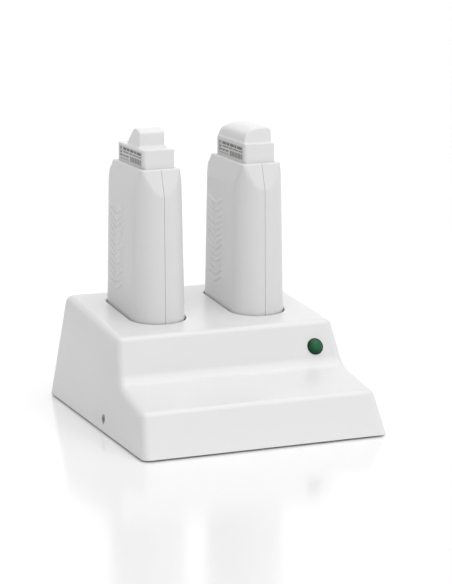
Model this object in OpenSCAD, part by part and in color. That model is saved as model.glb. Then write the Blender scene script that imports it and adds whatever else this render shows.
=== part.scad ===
// Roll-on wax heater: a two-place mains dock, two hand-held heaters that stand in it,
// and a roll-on wax cartridge in each. The front of the dock faces -Y and the floor is z = 0.
// The origin is on the floor, in the middle of the dock. Lengths are millimetres.

/* [Dock housing] */
// Width of the dock at the floor
dock_w = 213; // [204:1:240]
// Depth of the dock at the floor, front to back
dock_d = 240; // [230:1:280]
// Lean of the side and back walls from upright, in degrees
draft = 7.5; // [5:0.5:9]
// Wall thickness of the moulded housing
wall = 2.5; // [2:0.1:3.2]
// Radius of the housing's outer edges
edge_r = 7; // [5:0.1:9]
// Gap between the housing's lower edge and the floor
rim_gap = 1.5; // [1:0.1:2]
// Height of the edge where the lower front face meets the tread
lip_h = 35; // [30:1:40]
// How far that edge stands back from the foot of the front face
lip_set = 18; // [12:1:24]
// Length of the tread, front to back
tread_run = 56.5; // [50:0.5:64]
// Rise of the tread over its length
tread_rise = 10; // [6:1:14]
// Height of the upper front face
brow_rise = 35.3; // [30:0.1:42]
// How far the upper front face leans back over its height
brow_set = 16; // [10:1:22]
// Rise of the top from its front edge to its back edge
crown_rise = 10; // [6:1:14]

/* [Wells] */
// Distance between the middles of the two wells
well_pitch = 90; // [86:1:96]
// Place of the wells' middles, behind the middle of the dock
well_y = 42.7; // [40:0.1:46]
// Place of the pair of wells, right of the middle of the dock
well_x = 2; // [-3:0.1:3]
// Width of a well at the rim
well_w = 48; // [47.6:0.1:52]
// Length of a well at the rim, front to back
well_l = 89.6; // [89.2:0.1:94]
// Radius of a well's back corners
well_back_r = 12.1; // [8:0.1:12.2]
// Height of the well floor above the dock's floor
well_floor = 57.8; // [50:0.1:62]
// Wall thickness of the well liners
liner_wall = 2; // [1.6:0.1:2.6]

/* [Hand-held heater] */
// Width of a heater at its belly
heater_w = 46.8; // [44:0.1:47]
// Depth of a heater at its belly, front to back
heater_l = 88.8; // [84:0.1:88.9]
// Height of the heater's top above its foot
heater_h = 152.5; // [145:0.5:165]
// Radius of the front of the heater, seen from above
nose_r = 21; // [17:0.5:21.5]
// Radius of the heater's back corners, seen from above
back_r = 11.5; // [8:0.5:14]
// Width of the flat foot
foot_w = 31; // [29:0.5:36]
// Length of the flat foot
foot_l = 56; // [52:0.5:62]
// Height above the foot at which the belly is widest
belly_h = 27; // [24:1:34]
// Height above the foot of the crease where the top narrows
crease_h = 134; // [126:1:138]
// Width of the heater's top
top_w = 33.5; // [32:0.5:36]
// Length of the heater's top
top_l = 71; // [68:0.5:74]
// Wall thickness of the heater's shells
shell_t = 2.2; // [1.8:0.1:2.6]
// Number of chevrons in the grip
grip_count = 13; // [9:1:13]
// Distance from one chevron to the next
grip_pitch = 5.5; // [5:0.1:5.6]
// Width of a chevron's rib
rib_w = 1.6; // [1.2:0.1:2.2]
// How far the ribs stand out
rib_out = 0.7; // [0.4:0.1:1]
// Length of the grip across the heater
grip_l = 35; // [28:1:36]

/* [Cartridge] */
// Width of the cartridge's collar
collar_w = 27.6; // [27:0.1:29]
// Length of the collar, front to back
collar_l = 63; // [60:0.5:65]
// Height of the collar above the heater's top
collar_h = 15.5; // [13:0.5:18]
// Radius of the collar's upright edges
collar_r = 2.6; // [1.5:0.1:4]
// Width of the wax tank
tank_w = 24; // [22:0.1:25]
// Length of the wax tank, front to back
tank_l = 49; // [44:0.5:51]
// Height of the wax tank below the collar
tank_h = 98; // [88:1:106]
// Wall thickness of the wax tank
tank_t = 1.2; // [1:0.1:1.6]

/* [Rollers and caps] */
// Diameter of the wide roller
wide_roller_d = 19; // [16:0.5:20]
// Length of the wide roller
wide_roller_l = 42; // [36:0.5:43]
// Diameter of the narrow roller
narrow_roller_d = 13; // [11:0.5:13.5]
// Length of the narrow roller
narrow_roller_l = 11; // [9:0.5:11.5]
// Diameter of the rollers' stub axles
axle_d = 4; // [3:0.1:5]
// Wall thickness of the caps
cap_t = 1.5; // [1.2:0.1:1.7]
// Height of the wide cap above the collar
wide_cap_h = 14.4; // [13:0.1:17]
// Height of the narrow cap above the collar
narrow_cap_h = 15.4; // [14.5:0.1:18]
// Width of the narrow cap
narrow_cap_w = 21; // [19:0.1:23]
// Length of the narrow cap at its base
narrow_cap_l = 30; // [29:0.5:34]

/* [Pilot lamp] */
// Diameter of the lamp's green lens
lens_d = 12.6; // [10:0.1:14]
// Distance of the lamp from the dock's side, at the floor
lamp_in = 29.9; // [28:0.1:45]
// How far up the upper front face the lamp stands, as a length along it
lamp_up = 16.8; // [14:0.1:22]

/* [Fixings] */
// Diameter of the screws' shanks
screw_d = 3; // [2.5:0.1:3.5]
// Diameter of the screws' heads
head_d = 6; // [5:0.1:7]
// Place of the side screws, in front of the dock's middle
side_screw_y = 19.5; // [10:0.5:30]
// Height of the side screws above the floor
side_screw_z = 11; // [10:0.5:14]
// Diameter of the rubber feet
foot_d = 16; // [12:0.5:20]

/* [Mains inlet] */
// Height of the mains inlet above the floor
inlet_z = 26; // [20:1:34]
// Distance between the inlet's two pins
inlet_pitch = 6.6; // [6.4:0.1:7]
// Width of the inlet's socket
inlet_w = 16; // [15.6:0.1:18]
// Height of the inlet's socket
inlet_h = 9; // [8.6:0.1:10]

/* [Hidden] */
$fn = 48;

// clearances and small common sizes
slack = 0.3;          // between pieces that lift apart
run_fit = 0.05;       // radial, of an axle in its bore
screw_fit = 0.1;      // radial, of a screw in its hole
touch = 0.1;          // under a piece that stands on another
far = 400;            // longer than anything here
blend_run = 9;        // length of the blend on each side of the step's inner corner
soft_fn = 24;         // facets of the housing's rounded edges
body_fn = 32;         // facets of the heaters' rounded sides
wire_d = 2.2;

// the dock's outline, seen from its left side, as [y, z] corners from the foot of the front face
front_y = -dock_d / 2;
side_k = tan(draft);
foot_front = [front_y, 0];
lip = [front_y + lip_set, lip_h];
step_in = lip + [tread_run, tread_rise];
brow = step_in + [brow_set, brow_rise];
foot_back = [dock_d / 2, 0];
crown_z = brow[1] + crown_rise;
crown = [dock_d / 2 - side_k * crown_z, crown_z];
top_k = crown_rise / (crown[0] - brow[0]);
brow_lean = atan(brow_set / brow_rise);
function top_z(y) = brow[1] + top_k * (y - brow[0]);
function side_x(z) = dock_w / 2 - side_k * z;
function back_y(z) = dock_d / 2 - side_k * z;

// radius of a well's front, which follows the heater's nose
well_front_r = nose_r + (well_w - heater_w) / 2;

// heights in a heater and its cartridge
foot_z = well_floor + touch;
top_of_heater = foot_z + heater_h;
belly_z = foot_z + belly_h;
crease_z = foot_z + crease_h;
nose_drop = 3;        // how much lower the lean of the front and back starts than that of the sides
waist_k = 0.03;       // how much a heater narrows per millimetre above its belly
seam = 0.2;           // gap between a heater's two halves
mouth_w = collar_w + 2 * slack;
mouth_l = collar_l + 2 * slack;
collar_z = top_of_heater + collar_h;
collar_in = 4;        // how far the collar reaches down into the heater
tank_top = top_of_heater - collar_in;
tank_z = tank_top - tank_h;
neck_h = 8;
feed_w = 8;
label_t = 0.2;

// the sleeve a cartridge stands in, and the plates that heat it
sleeve_t = 1.6;
sleeve_r = 3.3;
sleeve_w = tank_w + 2 * slack;
sleeve_l = tank_l + 2 * slack;
sleeve_z = tank_z - touch - sleeve_t;
sleeve_top = tank_top - 4;
plate_t = 3;
plate_l = 34;
plate_z0 = tank_z + 12;
plate_z1 = plate_z0 + 0.6 * tank_h;
rib_t = 2;
rib_low = plate_z0 + 6;
rib_high = plate_z1 + 6;

// the grip on a heater's flat sides
grip_y = 8;
grip_z = foot_z + 46;
grip_k = 0.43;        // rise of a chevron's arms over their length
grip_gap = 3;         // gap at the point of a chevron

// screw posts of a heater, as [y, z]
post_r = screw_d / 2 + 1.8;
post_front = -18;
post_back = heater_l / 2 - shell_t - post_r - 0.6;
post_low = foot_z + 40;
post_under = 11.8;    // how far the front screw stands below the sleeve
post_high = crease_z - 14;
posts = [[post_front, tank_z - post_under], [post_back, post_low], [post_back, post_high]];
post_seat_x = 12;     // where the screw heads bear, right of the joint
post_screw_l = 20;

// contacts between the dock and a heater
pin_d = 4;
pin_gap = 13;
pin_up = 11;
pin_down = 20;
plug_w = 13;
plug_l = 27;
plug_h = 15;

// the caps and the rollers under them
cap_z = collar_z + touch;
cap_step = 1.6;       // step in from the collar to the cap, and the radius of the fillet in it
wide_cap_w = collar_w - 2 * slack;
wide_cap_l = collar_l - 2 * slack;
wide_shoulder = 8.3;
wide_crest_x = 2;
wide_roller_y = -1.5;
wide_axis_z = collar_z + 1;
narrow_cap_y = 0.5 - narrow_cap_l / 2;
narrow_roller_y = narrow_cap_y + 10.6;
narrow_axis_z = collar_z + narrow_cap_h - cap_t - 3 - narrow_roller_d / 2;
cheek_t = 2.4;
cheek_r = axle_d / 2 + 1.8;
cheek_gap = 0.4;

// the base plate and what stands on it
plate_lift = 2;
plate_t_dock = 2.5;
plate_top = plate_lift + plate_t_dock;
liner_post_r = 4.5;
liner_post_y = 33;
screw_tab_t = 7;
head_sink = 1.1;      // how deep the screws' heads sit
foot_in = 24;
foot_sink = 1;
terminal_y = dock_d / 2 - 42;
terminal_w = 36;
stiffener_in = 26;    // from the plate's back and sides to its ribs
terminal_l = 15;
terminal_h = 11;

// the pilot lamp and the mains inlet
lamp_hole_d = lens_d - 1.6;
lamp_x = dock_w / 2 - lamp_in;
lamp_at = [lamp_x, step_in[0] + sin(brow_lean) * lamp_up, step_in[1] + cos(brow_lean) * lamp_up];
bezel_h = 1;
lens_up = 4.2;
bulb_in = 22.4;
inlet_body_w = inlet_w + 4;
inlet_body_h = inlet_h + 4;
inlet_deep = 14;
inlet_pin_d = 2.4;
inlet_pin_in = 26;
lamp_lead = 85;       // how straight the lamp's wire runs to the terminals

// ---------------------------------------------------------------- shared forms

// a line through a and b, moved r to the right of the way from a to b
function moved_line(a, b, r) = let (d = (b - a) / norm(b - a)) [a + r * [d[1], -d[0]], d];
// where two lines meet
function meet(m, n) = let (c = m[1][0] * n[1][1] - m[1][1] * n[1][0], w = n[0] - m[0])
    m[0] + m[1] * (w[0] * n[1][1] - w[1] * n[1][0]) / c;
// where a line crosses height z
function at_height(m, z) = m[0] + m[1] * (z - m[0][1]) / m[1][1];

// a block with drafted sides and rounded edges, whose ball centres in side view are the points
module drafted_block(points, r) {
    hull()
        for (p = points, s = [-1, 1])
            translate([s * (side_x(p[1]) - edge_r / cos(draft)), p[0], p[1]])
                sphere(r = r, $fn = soft_fn);
}

// the stepped form of the housing, taken in by inset all over
module dock_form(inset) {
    r = edge_r - inset;
    under = -edge_r * 2;
    m_front = moved_line(foot_front, lip, edge_r);
    m_tread = moved_line(lip, step_in, edge_r);
    m_brow = moved_line(step_in, brow, edge_r);
    m_top = moved_line(brow, crown, edge_r);
    m_back = moved_line(crown, foot_back, edge_r);
    blend_a = step_in - (step_in - lip) / norm(step_in - lip) * blend_run;
    blend_b = step_in + (brow - step_in) / norm(brow - step_in) * blend_run;
    m_blend = moved_line(blend_a, blend_b, edge_r);
    foot_b = at_height(m_back, under);
    drafted_block([at_height(m_front, under), meet(m_front, m_tread), meet(m_tread, m_back), foot_b], r);
    drafted_block([at_height(m_brow, under), meet(m_brow, m_top), meet(m_top, m_back), foot_b], r);
    drafted_block([at_height(m_front, under), meet(m_tread, m_blend), meet(m_blend, m_brow), foot_b], r);
}

// a plan with a round front end and rounded back corners
module bullet(w, l, r_front, r_back) {
    translate([-w / 2, r_front - l / 2]) square([w, l - r_front - r_back]);
    translate([r_front - w / 2, -l / 2]) square([w - 2 * r_front, l / 2]);
    translate([r_back - w / 2, 0]) square([w - 2 * r_back, l / 2]);
    for (s = [-1, 1]) {
        translate([s * (w / 2 - r_front), r_front - l / 2]) circle(r_front);
        translate([s * (w / 2 - r_back), l / 2 - r_back]) circle(r_back);
    }
}

// a rectangle with rounded corners
module round_rect(w, l, r) {
    bullet(w, l, r, r);
}

// a round-cornered block standing on z
module block(w, l, z0, z1, r) {
    translate([0, 0, z0]) linear_extrude(z1 - z0) round_rect(w, l, r);
}

// a rod along X from x0 to x1
module rod_x(r, x0, x1) {
    translate([x0, 0, 0]) rotate([0, 90, 0]) cylinder(r = r, h = x1 - x0);
}

// a rod along Y from y0 to y1
module rod_y(r, y0, y1) {
    translate([0, y0, 0]) rotate([-90, 0, 0]) cylinder(r = r, h = y1 - y0);
}

// everything on one side of the plane x = 0, clear of it by half the seam
module half_space(s) {
    translate([s > 0 ? seam / 2 : -far - seam / 2, -far / 2, 0]) cube(far);
}

// a pan-head screw with a cross recess, head up, whose head bears on z = 0
module screw(d, dh, l) {
    head_h = dh * 0.36;
    difference() {
        union() {
            cylinder(d = dh, h = head_h);
            translate([0, 0, -l]) cylinder(d = d, h = l + 0.01);
        }
        for (a = [0, 90])
            rotate([0, 0, a])
                translate([-dh * 0.3, -dh * 0.07, head_h * 0.45]) cube([dh * 0.6, dh * 0.14, head_h]);
    }
}

// a wire along a smooth curve from a to b, leaving along da and arriving along db
function bezier(a, p, q, b, t) =
    pow(1 - t, 3) * a + 3 * pow(1 - t, 2) * t * p + 3 * (1 - t) * t * t * q + pow(t, 3) * b;
function unit(v) = v / norm(v);
module wire(a, da, b, db) {
    rings = 12;
    sides = 6;
    path = [for (i = [0:rings]) bezier(a, a + da, b + db, b, i / rings)];
    dirs = [for (i = [0:rings]) unit(path[min(i + 1, rings)] - path[max(i - 1, 0)])];
    guide = unit(cross(da, b - a) + [0.01, 0.02, 0.03]);
    points = [for (i = [0:rings], j = [0:sides - 1])
        let (n = unit(cross(guide, dirs[i])), m = cross(dirs[i], n), turn = 360 * j / sides)
            path[i] + wire_d / 2 * (cos(turn) * n + sin(turn) * m)];
    faces = concat(
        [[for (j = [sides - 1:-1:0]) j]],
        [[for (j = [0:sides - 1]) rings * sides + j]],
        [for (i = [0:rings - 1], j = [0:sides - 1])
            let (k = (j + 1) % sides) [i * sides + j, i * sides + k, (i + 1) * sides + k]],
        [for (i = [0:rings - 1], j = [0:sides - 1])
            let (k = (j + 1) % sides) [i * sides + j, (i + 1) * sides + k, (i + 1) * sides + j]]);
    polyhedron(points, faces);
}

// places of the left and right stations
module left() { translate([well_x - well_pitch / 2, well_y, 0]) children(); }
module right() { translate([well_x + well_pitch / 2, well_y, 0]) children(); }

// ---------------------------------------------------------------- dock

// the pilot lamp's own frame: +Z points out of the upper front face
module at_lamp() {
    translate(lamp_at) rotate([90 - brow_lean, 0, 0]) children();
}

// the mains inlet's own frame: +Z points out of the back wall
module at_inlet() {
    translate([0, back_y(inlet_z), inlet_z]) rotate([-90 + draft, 0, 0]) children();
}

// the side screws' frames: +Z points out of the side wall
module at_side_screws() {
    for (s = [-1, 1])
        translate([s * side_x(side_screw_z), -side_screw_y, side_screw_z])
            rotate([0, s * 90, 0]) children();
}

// places of the screws that hold the two well liners down
module at_liner_screws() {
    for (s = [-1, 1], t = [-1, 1])
        translate([well_x + s * well_pitch / 2, well_y + t * liner_post_y, 0]) children();
}

// the one-piece moulded housing, open below
module base_housing() {
    color("white")
    difference() {
        dock_form(0);
        dock_form(wall);
        translate([-far / 2, -far / 2, rim_gap - far]) cube(far);
        for (s = [-1, 1])
            translate([well_x + s * well_pitch / 2, well_y, well_floor])
                linear_extrude(far) bullet(well_w, well_l, well_front_r, well_back_r);
        at_lamp() translate([0, 0, -2 * wall]) cylinder(d = lamp_hole_d, h = 4 * wall);
        at_inlet() translate([0, 0, -2 * wall])
            linear_extrude(4 * wall) round_rect(inlet_body_w + 2 * screw_fit, inlet_body_h + 2 * screw_fit, 2);
        at_side_screws() {
            translate([0, 0, -wall - 3]) cylinder(d = screw_d + 2 * screw_fit, h = far);
            translate([0, 0, -head_sink]) cylinder(d = head_d + 2 * slack, h = far);
        }
    }
}

// the plate that closes the dock from below
module base_plate() {
    plate_w = 2 * (side_x(plate_top) - wall / cos(draft) - slack);
    front_in = (wall + slack) / cos(atan(lip_set / lip_h)) + plate_top * lip_set / lip_h;
    plate_y0 = front_y + front_in;
    plate_y1 = back_y(plate_top) - wall / cos(draft) - slack;
    plate_l = plate_y1 - plate_y0;
    tab_x = side_x(side_screw_z + 6) - wall / cos(draft) - 0.6;
    color("gainsboro")
    difference() {
        union() {
            translate([0, (plate_y0 + plate_y1) / 2, plate_lift])
                linear_extrude(plate_t_dock) round_rect(plate_w, plate_l, edge_r - wall);
            // tabs that take the side screws
            for (s = [-1, 1])
                translate([s * (tab_x - screw_tab_t / 2), -side_screw_y, plate_lift])
                    linear_extrude(side_screw_z + 5 - plate_lift) square([screw_tab_t, 13], center = true);
            // ribs that stiffen the plate
            for (y = [front_y + 2 * stiffener_in, dock_d / 2 - stiffener_in])
                translate([stiffener_in - dock_w / 2, y, plate_lift])
                    cube([dock_w - 2 * stiffener_in, 2, plate_t_dock + 5]);
            // sockets round the liner posts
            at_liner_screws()
                translate([0, 0, plate_lift]) cylinder(r = liner_post_r + 2, h = plate_t_dock + 4);
        }
        at_liner_screws() {
            translate([0, 0, plate_top]) cylinder(r = liner_post_r + screw_fit, h = 10);
            translate([0, 0, -1]) cylinder(d = screw_d + 2 * screw_fit, h = 20);
            translate([0, 0, -1]) cylinder(d = head_d + 0.6, h = 1 + plate_lift + head_sink);
        }
        at_side_screws() translate([0, 0, -40]) cylinder(d = screw_d + 2 * screw_fit, h = 40);
        at_feet() translate([0, 0, plate_lift - 1]) cylinder(d = foot_d + 0.4, h = 1 + foot_sink);
        // vents under the lamp and the terminals
        for (i = [-3:3])
            translate([i * 8, -20, 0]) linear_extrude(20) round_rect(3, 26, 1.4);
    }
}

// places of the four feet
module at_feet() {
    for (s = [-1, 1], y = [front_y + foot_in + 6, dock_d / 2 - foot_in])
        translate([s * (dock_w / 2 - foot_in), y, 0]) children();
}

module rubber_feet() {
    color("dimgray")
    at_feet()
        rotate_extrude()
            polygon([[0, 0], [foot_d / 2 - 1, 0], [foot_d / 2, 1], [foot_d / 2, plate_lift + foot_sink],
                [0, plate_lift + foot_sink]]);
}

module side_screws() {
    color("silver")
    at_side_screws() translate([0, 0, -head_sink]) screw(screw_d, head_d, wall + screw_tab_t);
}

module liner_screws() {
    color("silver")
    at_liner_screws() translate([0, 0, plate_lift + head_sink]) rotate([180, 0, 0]) screw(screw_d, head_d, 12);
}

// a cup that hangs under the rim of a well and takes a heater's foot
module well_liner() {
    out_w = well_w + 2 * liner_wall;
    out_l = well_l + 2 * liner_wall;
    floor_z = well_floor - liner_wall;
    color("whitesmoke")
    difference() {
        union() {
            translate([0, 0, floor_z])
                linear_extrude(far / 2) bullet(out_w, out_l, well_front_r + liner_wall, well_back_r + liner_wall);
            for (t = [-1, 1])
                translate([0, t * liner_post_y, plate_top]) cylinder(r = liner_post_r, h = floor_z - plate_top);
        }
        translate([0, 0, well_floor])
            linear_extrude(far) bullet(well_w, well_l, well_front_r, well_back_r);
        // cut level with the underside of the sloping top
        rotate([90, 0, 90])
            translate([0, 0, -far / 2])
                linear_extrude(far)
                    polygon([for (y = [-far / 2, far / 2]) [y, top_z(y + well_y) - wall / cos(atan(top_k)) - touch],
                        [far / 2, far], [-far / 2, far]]);
        for (s = [-1, 1])
            translate([0, s * pin_gap / 2, floor_z - 1]) cylinder(d = pin_d + 2, h = liner_wall + 2);
        for (t = [-1, 1])
            translate([0, t * liner_post_y, plate_top - 1]) cylinder(d = screw_d + 2 * screw_fit, h = 14);
    }
}

// the moulded block under a well that carries the two contact pins
module contact_block() {
    z1 = well_floor - liner_wall;
    color("dimgray")
    difference() {
        union() {
            block(plug_w + 4, plug_l + 6, z1 - 12, z1, 2);
            block(plug_w - 2, plug_l - 6, z1 - 16, z1 - 12, 1.5);
            for (s = [-1, 1])
                translate([0, s * pin_gap / 2, z1]) cylinder(d = pin_d + 1.8, h = liner_wall);
        }
        for (s = [-1, 1])
            translate([0, s * pin_gap / 2, z1 - 20]) cylinder(d = pin_d + 2 * screw_fit, h = 30);
    }
}

// two round pins with a domed end and a collar
module contact_pins() {
    z1 = well_floor - liner_wall;
    color("goldenrod")
    for (s = [-1, 1])
        translate([0, s * pin_gap / 2, 0])
            rotate_extrude()
                difference() {
                    union() {
                        translate([0, z1 - 20]) square([pin_d / 2, well_floor + pin_up - 1 - z1 + 20]);
                        translate([0, well_floor + pin_up - pin_d / 2]) circle(pin_d / 2);
                    }
                    translate([-pin_d, z1 - 30]) square([pin_d, far]);
                }
}

module pilot_lens() {
    dome_r = (pow(lens_d / 2 - 0.6, 2) + pow(lens_up, 2)) / (2 * lens_up);
    color("green")
    at_lamp()
        rotate_extrude()
            difference() {
                union() {
                    intersection() {
                        translate([0, bezel_h + lens_up - dome_r]) circle(dome_r);
                        translate([0, bezel_h]) square([lens_d / 2 - 0.6, lens_up]);
                    }
                    translate([0, -9]) square([lamp_hole_d / 2 - 2.2, bezel_h + 9]);
                    translate([0, 0.4]) square([lens_d / 2 - 0.6, bezel_h - 0.4]);
                }
                // room for the bulb
                translate([0, -10]) square([2.4, 11]);
                translate([-far, -far]) square([far, 2 * far]);
            }
}

// the lamp's threaded body with its rim
module pilot_bezel() {
    color("darkslategray")
    at_lamp()
        difference() {
            union() {
                cylinder(d1 = lens_d + 2, d2 = lens_d + 1.2, h = bezel_h);
                translate([0, 0, -22]) cylinder(d = lamp_hole_d - 2 * screw_fit, h = 22.01);
            }
            translate([0, 0, 0.4]) cylinder(d = lens_d - 1.2 + 2 * screw_fit, h = 10);
            translate([0, 0, -30]) cylinder(d = lamp_hole_d - 4.4 + 2 * screw_fit, h = 40);
        }
}

module pilot_nut() {
    color("gray")
    at_lamp()
        translate([0, 0, -wall - touch - 3.2])
            difference() {
                cylinder(d = lamp_hole_d + 5, h = 3.2, $fn = 6);
                translate([0, 0, -1]) cylinder(d = lamp_hole_d - 2 * screw_fit + 0.1, h = 6);
            }
}

// the glow lamp on its two leads
module pilot_bulb() {
    color("orange")
    at_lamp()
        rotate_extrude()
            difference() {
                union() {
                    translate([0, 2 - bulb_in]) square([2.1, bulb_in - 4]);
                    translate([0, -2]) circle(2.1);
                    translate([0, -bulb_in]) square([lamp_hole_d / 2 - 2.4, 4]);
                }
                translate([-far, -far]) square([far, 2 * far]);
            }
}

// the two-pole inlet in the back wall
module mains_inlet() {
    color("dimgray")
    at_inlet()
        difference() {
            union() {
                linear_extrude(1.2) round_rect(inlet_body_w + 4, inlet_body_h + 4, 3);
                translate([0, 0, -20]) linear_extrude(20.01) round_rect(inlet_body_w, inlet_body_h, 2);
            }
            translate([0, 0, -inlet_deep]) linear_extrude(far) round_rect(inlet_w, inlet_h, inlet_h / 2 - 0.3);
            for (s = [-1, 1])
                translate([s * inlet_pitch / 2, 0, -30]) cylinder(d = inlet_pin_d + 2 * screw_fit, h = 30);
        }
}

module mains_pins() {
    color("silver")
    at_inlet()
        for (s = [-1, 1])
            translate([s * inlet_pitch / 2, 0, -inlet_pin_in]) {
                cylinder(d = inlet_pin_d, h = 20);
                translate([0, 0, 20]) sphere(d = inlet_pin_d);
            }
}

// the screw strip that joins the wires
module terminal_block() {
    color("ivory")
    translate([0, terminal_y, plate_top + touch])
        difference() {
            union() {
                block(terminal_w, terminal_l, 0, terminal_h - 4, 1.5);
                for (i = [-1, 0, 1])
                    translate([i * 11.5, 0, 0]) block(9, 11, terminal_h - 5, terminal_h, 1.5);
            }
            for (i = [-1, 0, 1])
                translate([i * 11.5, 0, 4]) cylinder(d = 5, h = terminal_h);
        }
}

// wires from the terminals to the well contacts, the inlet and the lamp
module dock_wiring() {
    z_pins = well_floor - liner_wall - pin_down - slack;
    z_wire = plate_top + 2.2;
    inward = [0, cos(draft), sin(draft)];
    from_inlet = [0, back_y(inlet_z), inlet_z] - (inlet_pin_in + slack) * inward;
    near_end = terminal_y - terminal_l / 2 - slack;
    from_lamp = lamp_at + (bulb_in + slack) * [0, cos(brow_lean), -sin(brow_lean)];
    color("sienna")
    for (s = [-1, 1]) {
        for (p = [-1, 1])
            wire([well_x + s * well_pitch / 2, well_y + p * pin_gap / 2, z_pins], [0, 0, -14],
                [s * (13.5 + 2 * p), near_end, z_wire + 2], [0, -30, 0]);
        wire(from_inlet + [s * inlet_pitch / 2, 0, 0], -5 * inward,
            [s * 4.5, terminal_y + terminal_l / 2 + slack, z_wire], [0, 8, 0]);
    }
    color("sienna")
    wire(from_lamp, 22 * [0, cos(brow_lean), -sin(brow_lean)],
        [0, near_end, z_wire], [0, -lamp_lead, 0]);
}

// ---------------------------------------------------------------- heater

// how far the lower body has drawn in at a share s of the way from foot to belly
function drawn_in(s) = pow(1 - s, 2);

// a size that shrinks evenly above the belly
function tapered(size, z) = size - waist_k * (z - belly_z);

// a heater's outside, taken in by inset all over
module heater_body(inset) {
    steps = 5;
    slices = concat(
        [for (i = [0:steps])
            let (s = i / steps)
                [foot_z + s * belly_h,
                    heater_w - (heater_w - foot_w) * drawn_in(s), heater_l - (heater_l - foot_l) * drawn_in(s)]],
        [[top_of_heater, tapered(heater_w, top_of_heater), tapered(heater_l, top_of_heater)]]);
    intersection() {
        hull()
            for (c = slices)
                body_slice(min(max(c[0], foot_z + inset), top_of_heater - inset), c[1] / 2, c[2] / 2, inset);
        // the sides lean in above the crease
        rotate([90, 0, 0])
            translate([0, 0, -far / 2])
                linear_extrude(far) leaning(top_w / 2, tapered(heater_w, crease_z) / 2, crease_z, inset);
        // and so do the front and the back
        rotate([90, 0, 90])
            translate([0, 0, -far / 2])
                linear_extrude(far)
                    leaning(top_l / 2, tapered(heater_l, crease_z - nose_drop) / 2, crease_z - nose_drop, inset);
    }
}

// one level of a heater: a round front and rounded back corners, taken in by inset
module body_slice(z, half_w, half_l, inset) {
    front_r = min(nose_r, half_w - 0.2) - inset;
    rear_r = min(back_r, half_w - 0.2) - inset;
    for (s = [-1, 1]) {
        translate([s * (half_w - inset - front_r), front_r + inset - half_l, z])
            cylinder(r = front_r, h = 0.01, $fn = body_fn);
        translate([s * (half_w - inset - rear_r), half_l - inset - rear_r, z])
            cylinder(r = rear_r, h = 0.01, $fn = body_fn);
    }
}

// a tall outline whose sides lean in, from half_low at z_low to half_top at the heater's top
module leaning(half_top, half_low, z_low, inset) {
    slope = (half_low - half_top) / (top_of_heater - z_low);
    z_top = top_of_heater - inset;
    shift = inset * sqrt(1 + slope * slope) - slope * inset;
    z_out = z_low - (far / 8 - half_low + shift) / slope;
    polygon([[-far / 8, 0], [far / 8, 0], [far / 8, z_out], [half_top - shift, z_top],
        [shift - half_top, z_top], [-far / 8, z_out]]);
}

// the raised chevrons on a heater's flat side; only the lowest one is closed at its point
module grip(s) {
    for (i = [0:grip_count - 1], e = [-1, 1]) {
        z = grip_z + i * grip_pitch;
        y0 = i == 0 ? 0 : grip_gap / 2;
        y1 = grip_l / 2;
        x = tapered(heater_w, z + y1 * grip_k / 2) / 2;
        translate([s * (x - shell_t / 2 + rib_out / 2), grip_y, z])
            rotate([90, 0, 90])
                linear_extrude(shell_t + rib_out, center = true)
                    polygon([[e * y0, y0 * grip_k], [e * y1, y1 * grip_k], [e * y1, y1 * grip_k + rib_w],
                        [e * y0, y0 * grip_k + rib_w]]);
    }
}

// one moulded half of a heater: s = -1 is the left half, s = 1 the right half with the screw heads
module heater_shell(s) {
    color("lightgray")
    difference() {
        union() {
            intersection() {
                difference() {
                    heater_body(0);
                    heater_body(shell_t);
                }
                half_space(s);
            }
            grip(s);
            // posts that the screws pass through, and ribs that hold the sleeve
            intersection() {
                union() {
                    for (p = posts)
                        translate([0, p[0], p[1]]) rod_x(post_r, -far / 8, far / 8);
                    for (z = [rib_low, rib_high])
                        block(far / 4, far / 4, z, z + rib_t, 1);
                }
                half_space(s);
                heater_body(shell_t / 2);
            }
        }
        block(mouth_w, mouth_l, sleeve_top, far, collar_r + slack);
        block(sleeve_w + 2 * sleeve_t + 2 * screw_fit, sleeve_l + 2 * sleeve_t + 2 * screw_fit,
            sleeve_z - 1, sleeve_top + 1, sleeve_r + sleeve_t);
        for (t = [-1, 1])
            translate([t * (sleeve_w / 2 + sleeve_t + plate_t / 2), 0, 0])
                block(plate_t + 2 * slack, plate_l + 2 * slack, plate_z0 - 2, plate_z1 + 2, 0.5);
        block(plug_w + 2 * screw_fit, plug_l + 2 * screw_fit, foot_z - 1, foot_z + shell_t + 1, 2);
        for (p = posts)
            translate([0, p[0], p[1]]) {
                rod_x(screw_d / 2 + screw_fit, post_seat_x - post_screw_l - 1, far / 8);
                if (s > 0) rod_x(head_d / 2 + slack, post_seat_x, far / 8);
            }
    }
}

// the three screws that hold the halves together
module shell_screws() {
    color("silver")
    for (p = posts)
        translate([post_seat_x, p[0], p[1]]) rotate([0, 90, 0]) screw(screw_d, head_d, post_screw_l);
}

// the aluminium sleeve that warms the cartridge
module heat_sleeve() {
    flange_z = rib_high + rib_t + touch;
    color("silver")
    difference() {
        union() {
            block(sleeve_w + 2 * sleeve_t, sleeve_l + 2 * sleeve_t, sleeve_z, sleeve_top, sleeve_r + sleeve_t);
            // the flange that hangs the sleeve on the shells' upper ribs
            block(sleeve_w + 2 * sleeve_t + 4, sleeve_l + 2 * sleeve_t + 6, flange_z, flange_z + sleeve_t, sleeve_r);
        }
        block(sleeve_w, sleeve_l, sleeve_z + sleeve_t, far, sleeve_r);
    }
}

// flat heating plates clamped on both sides of the sleeve
module heat_plates() {
    color("tan")
    for (s = [-1, 1])
        translate([s * (sleeve_w / 2 + sleeve_t + plate_t / 2), 0, 0])
            difference() {
                block(plate_t, plate_l, plate_z0, plate_z1, 0.6);
                for (z = [plate_z0 + 10:10:plate_z1 - 8])
                    translate([s * plate_t / 2, 0, z]) cube([1, plate_l - 8, 2], center = true);
            }
}

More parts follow.
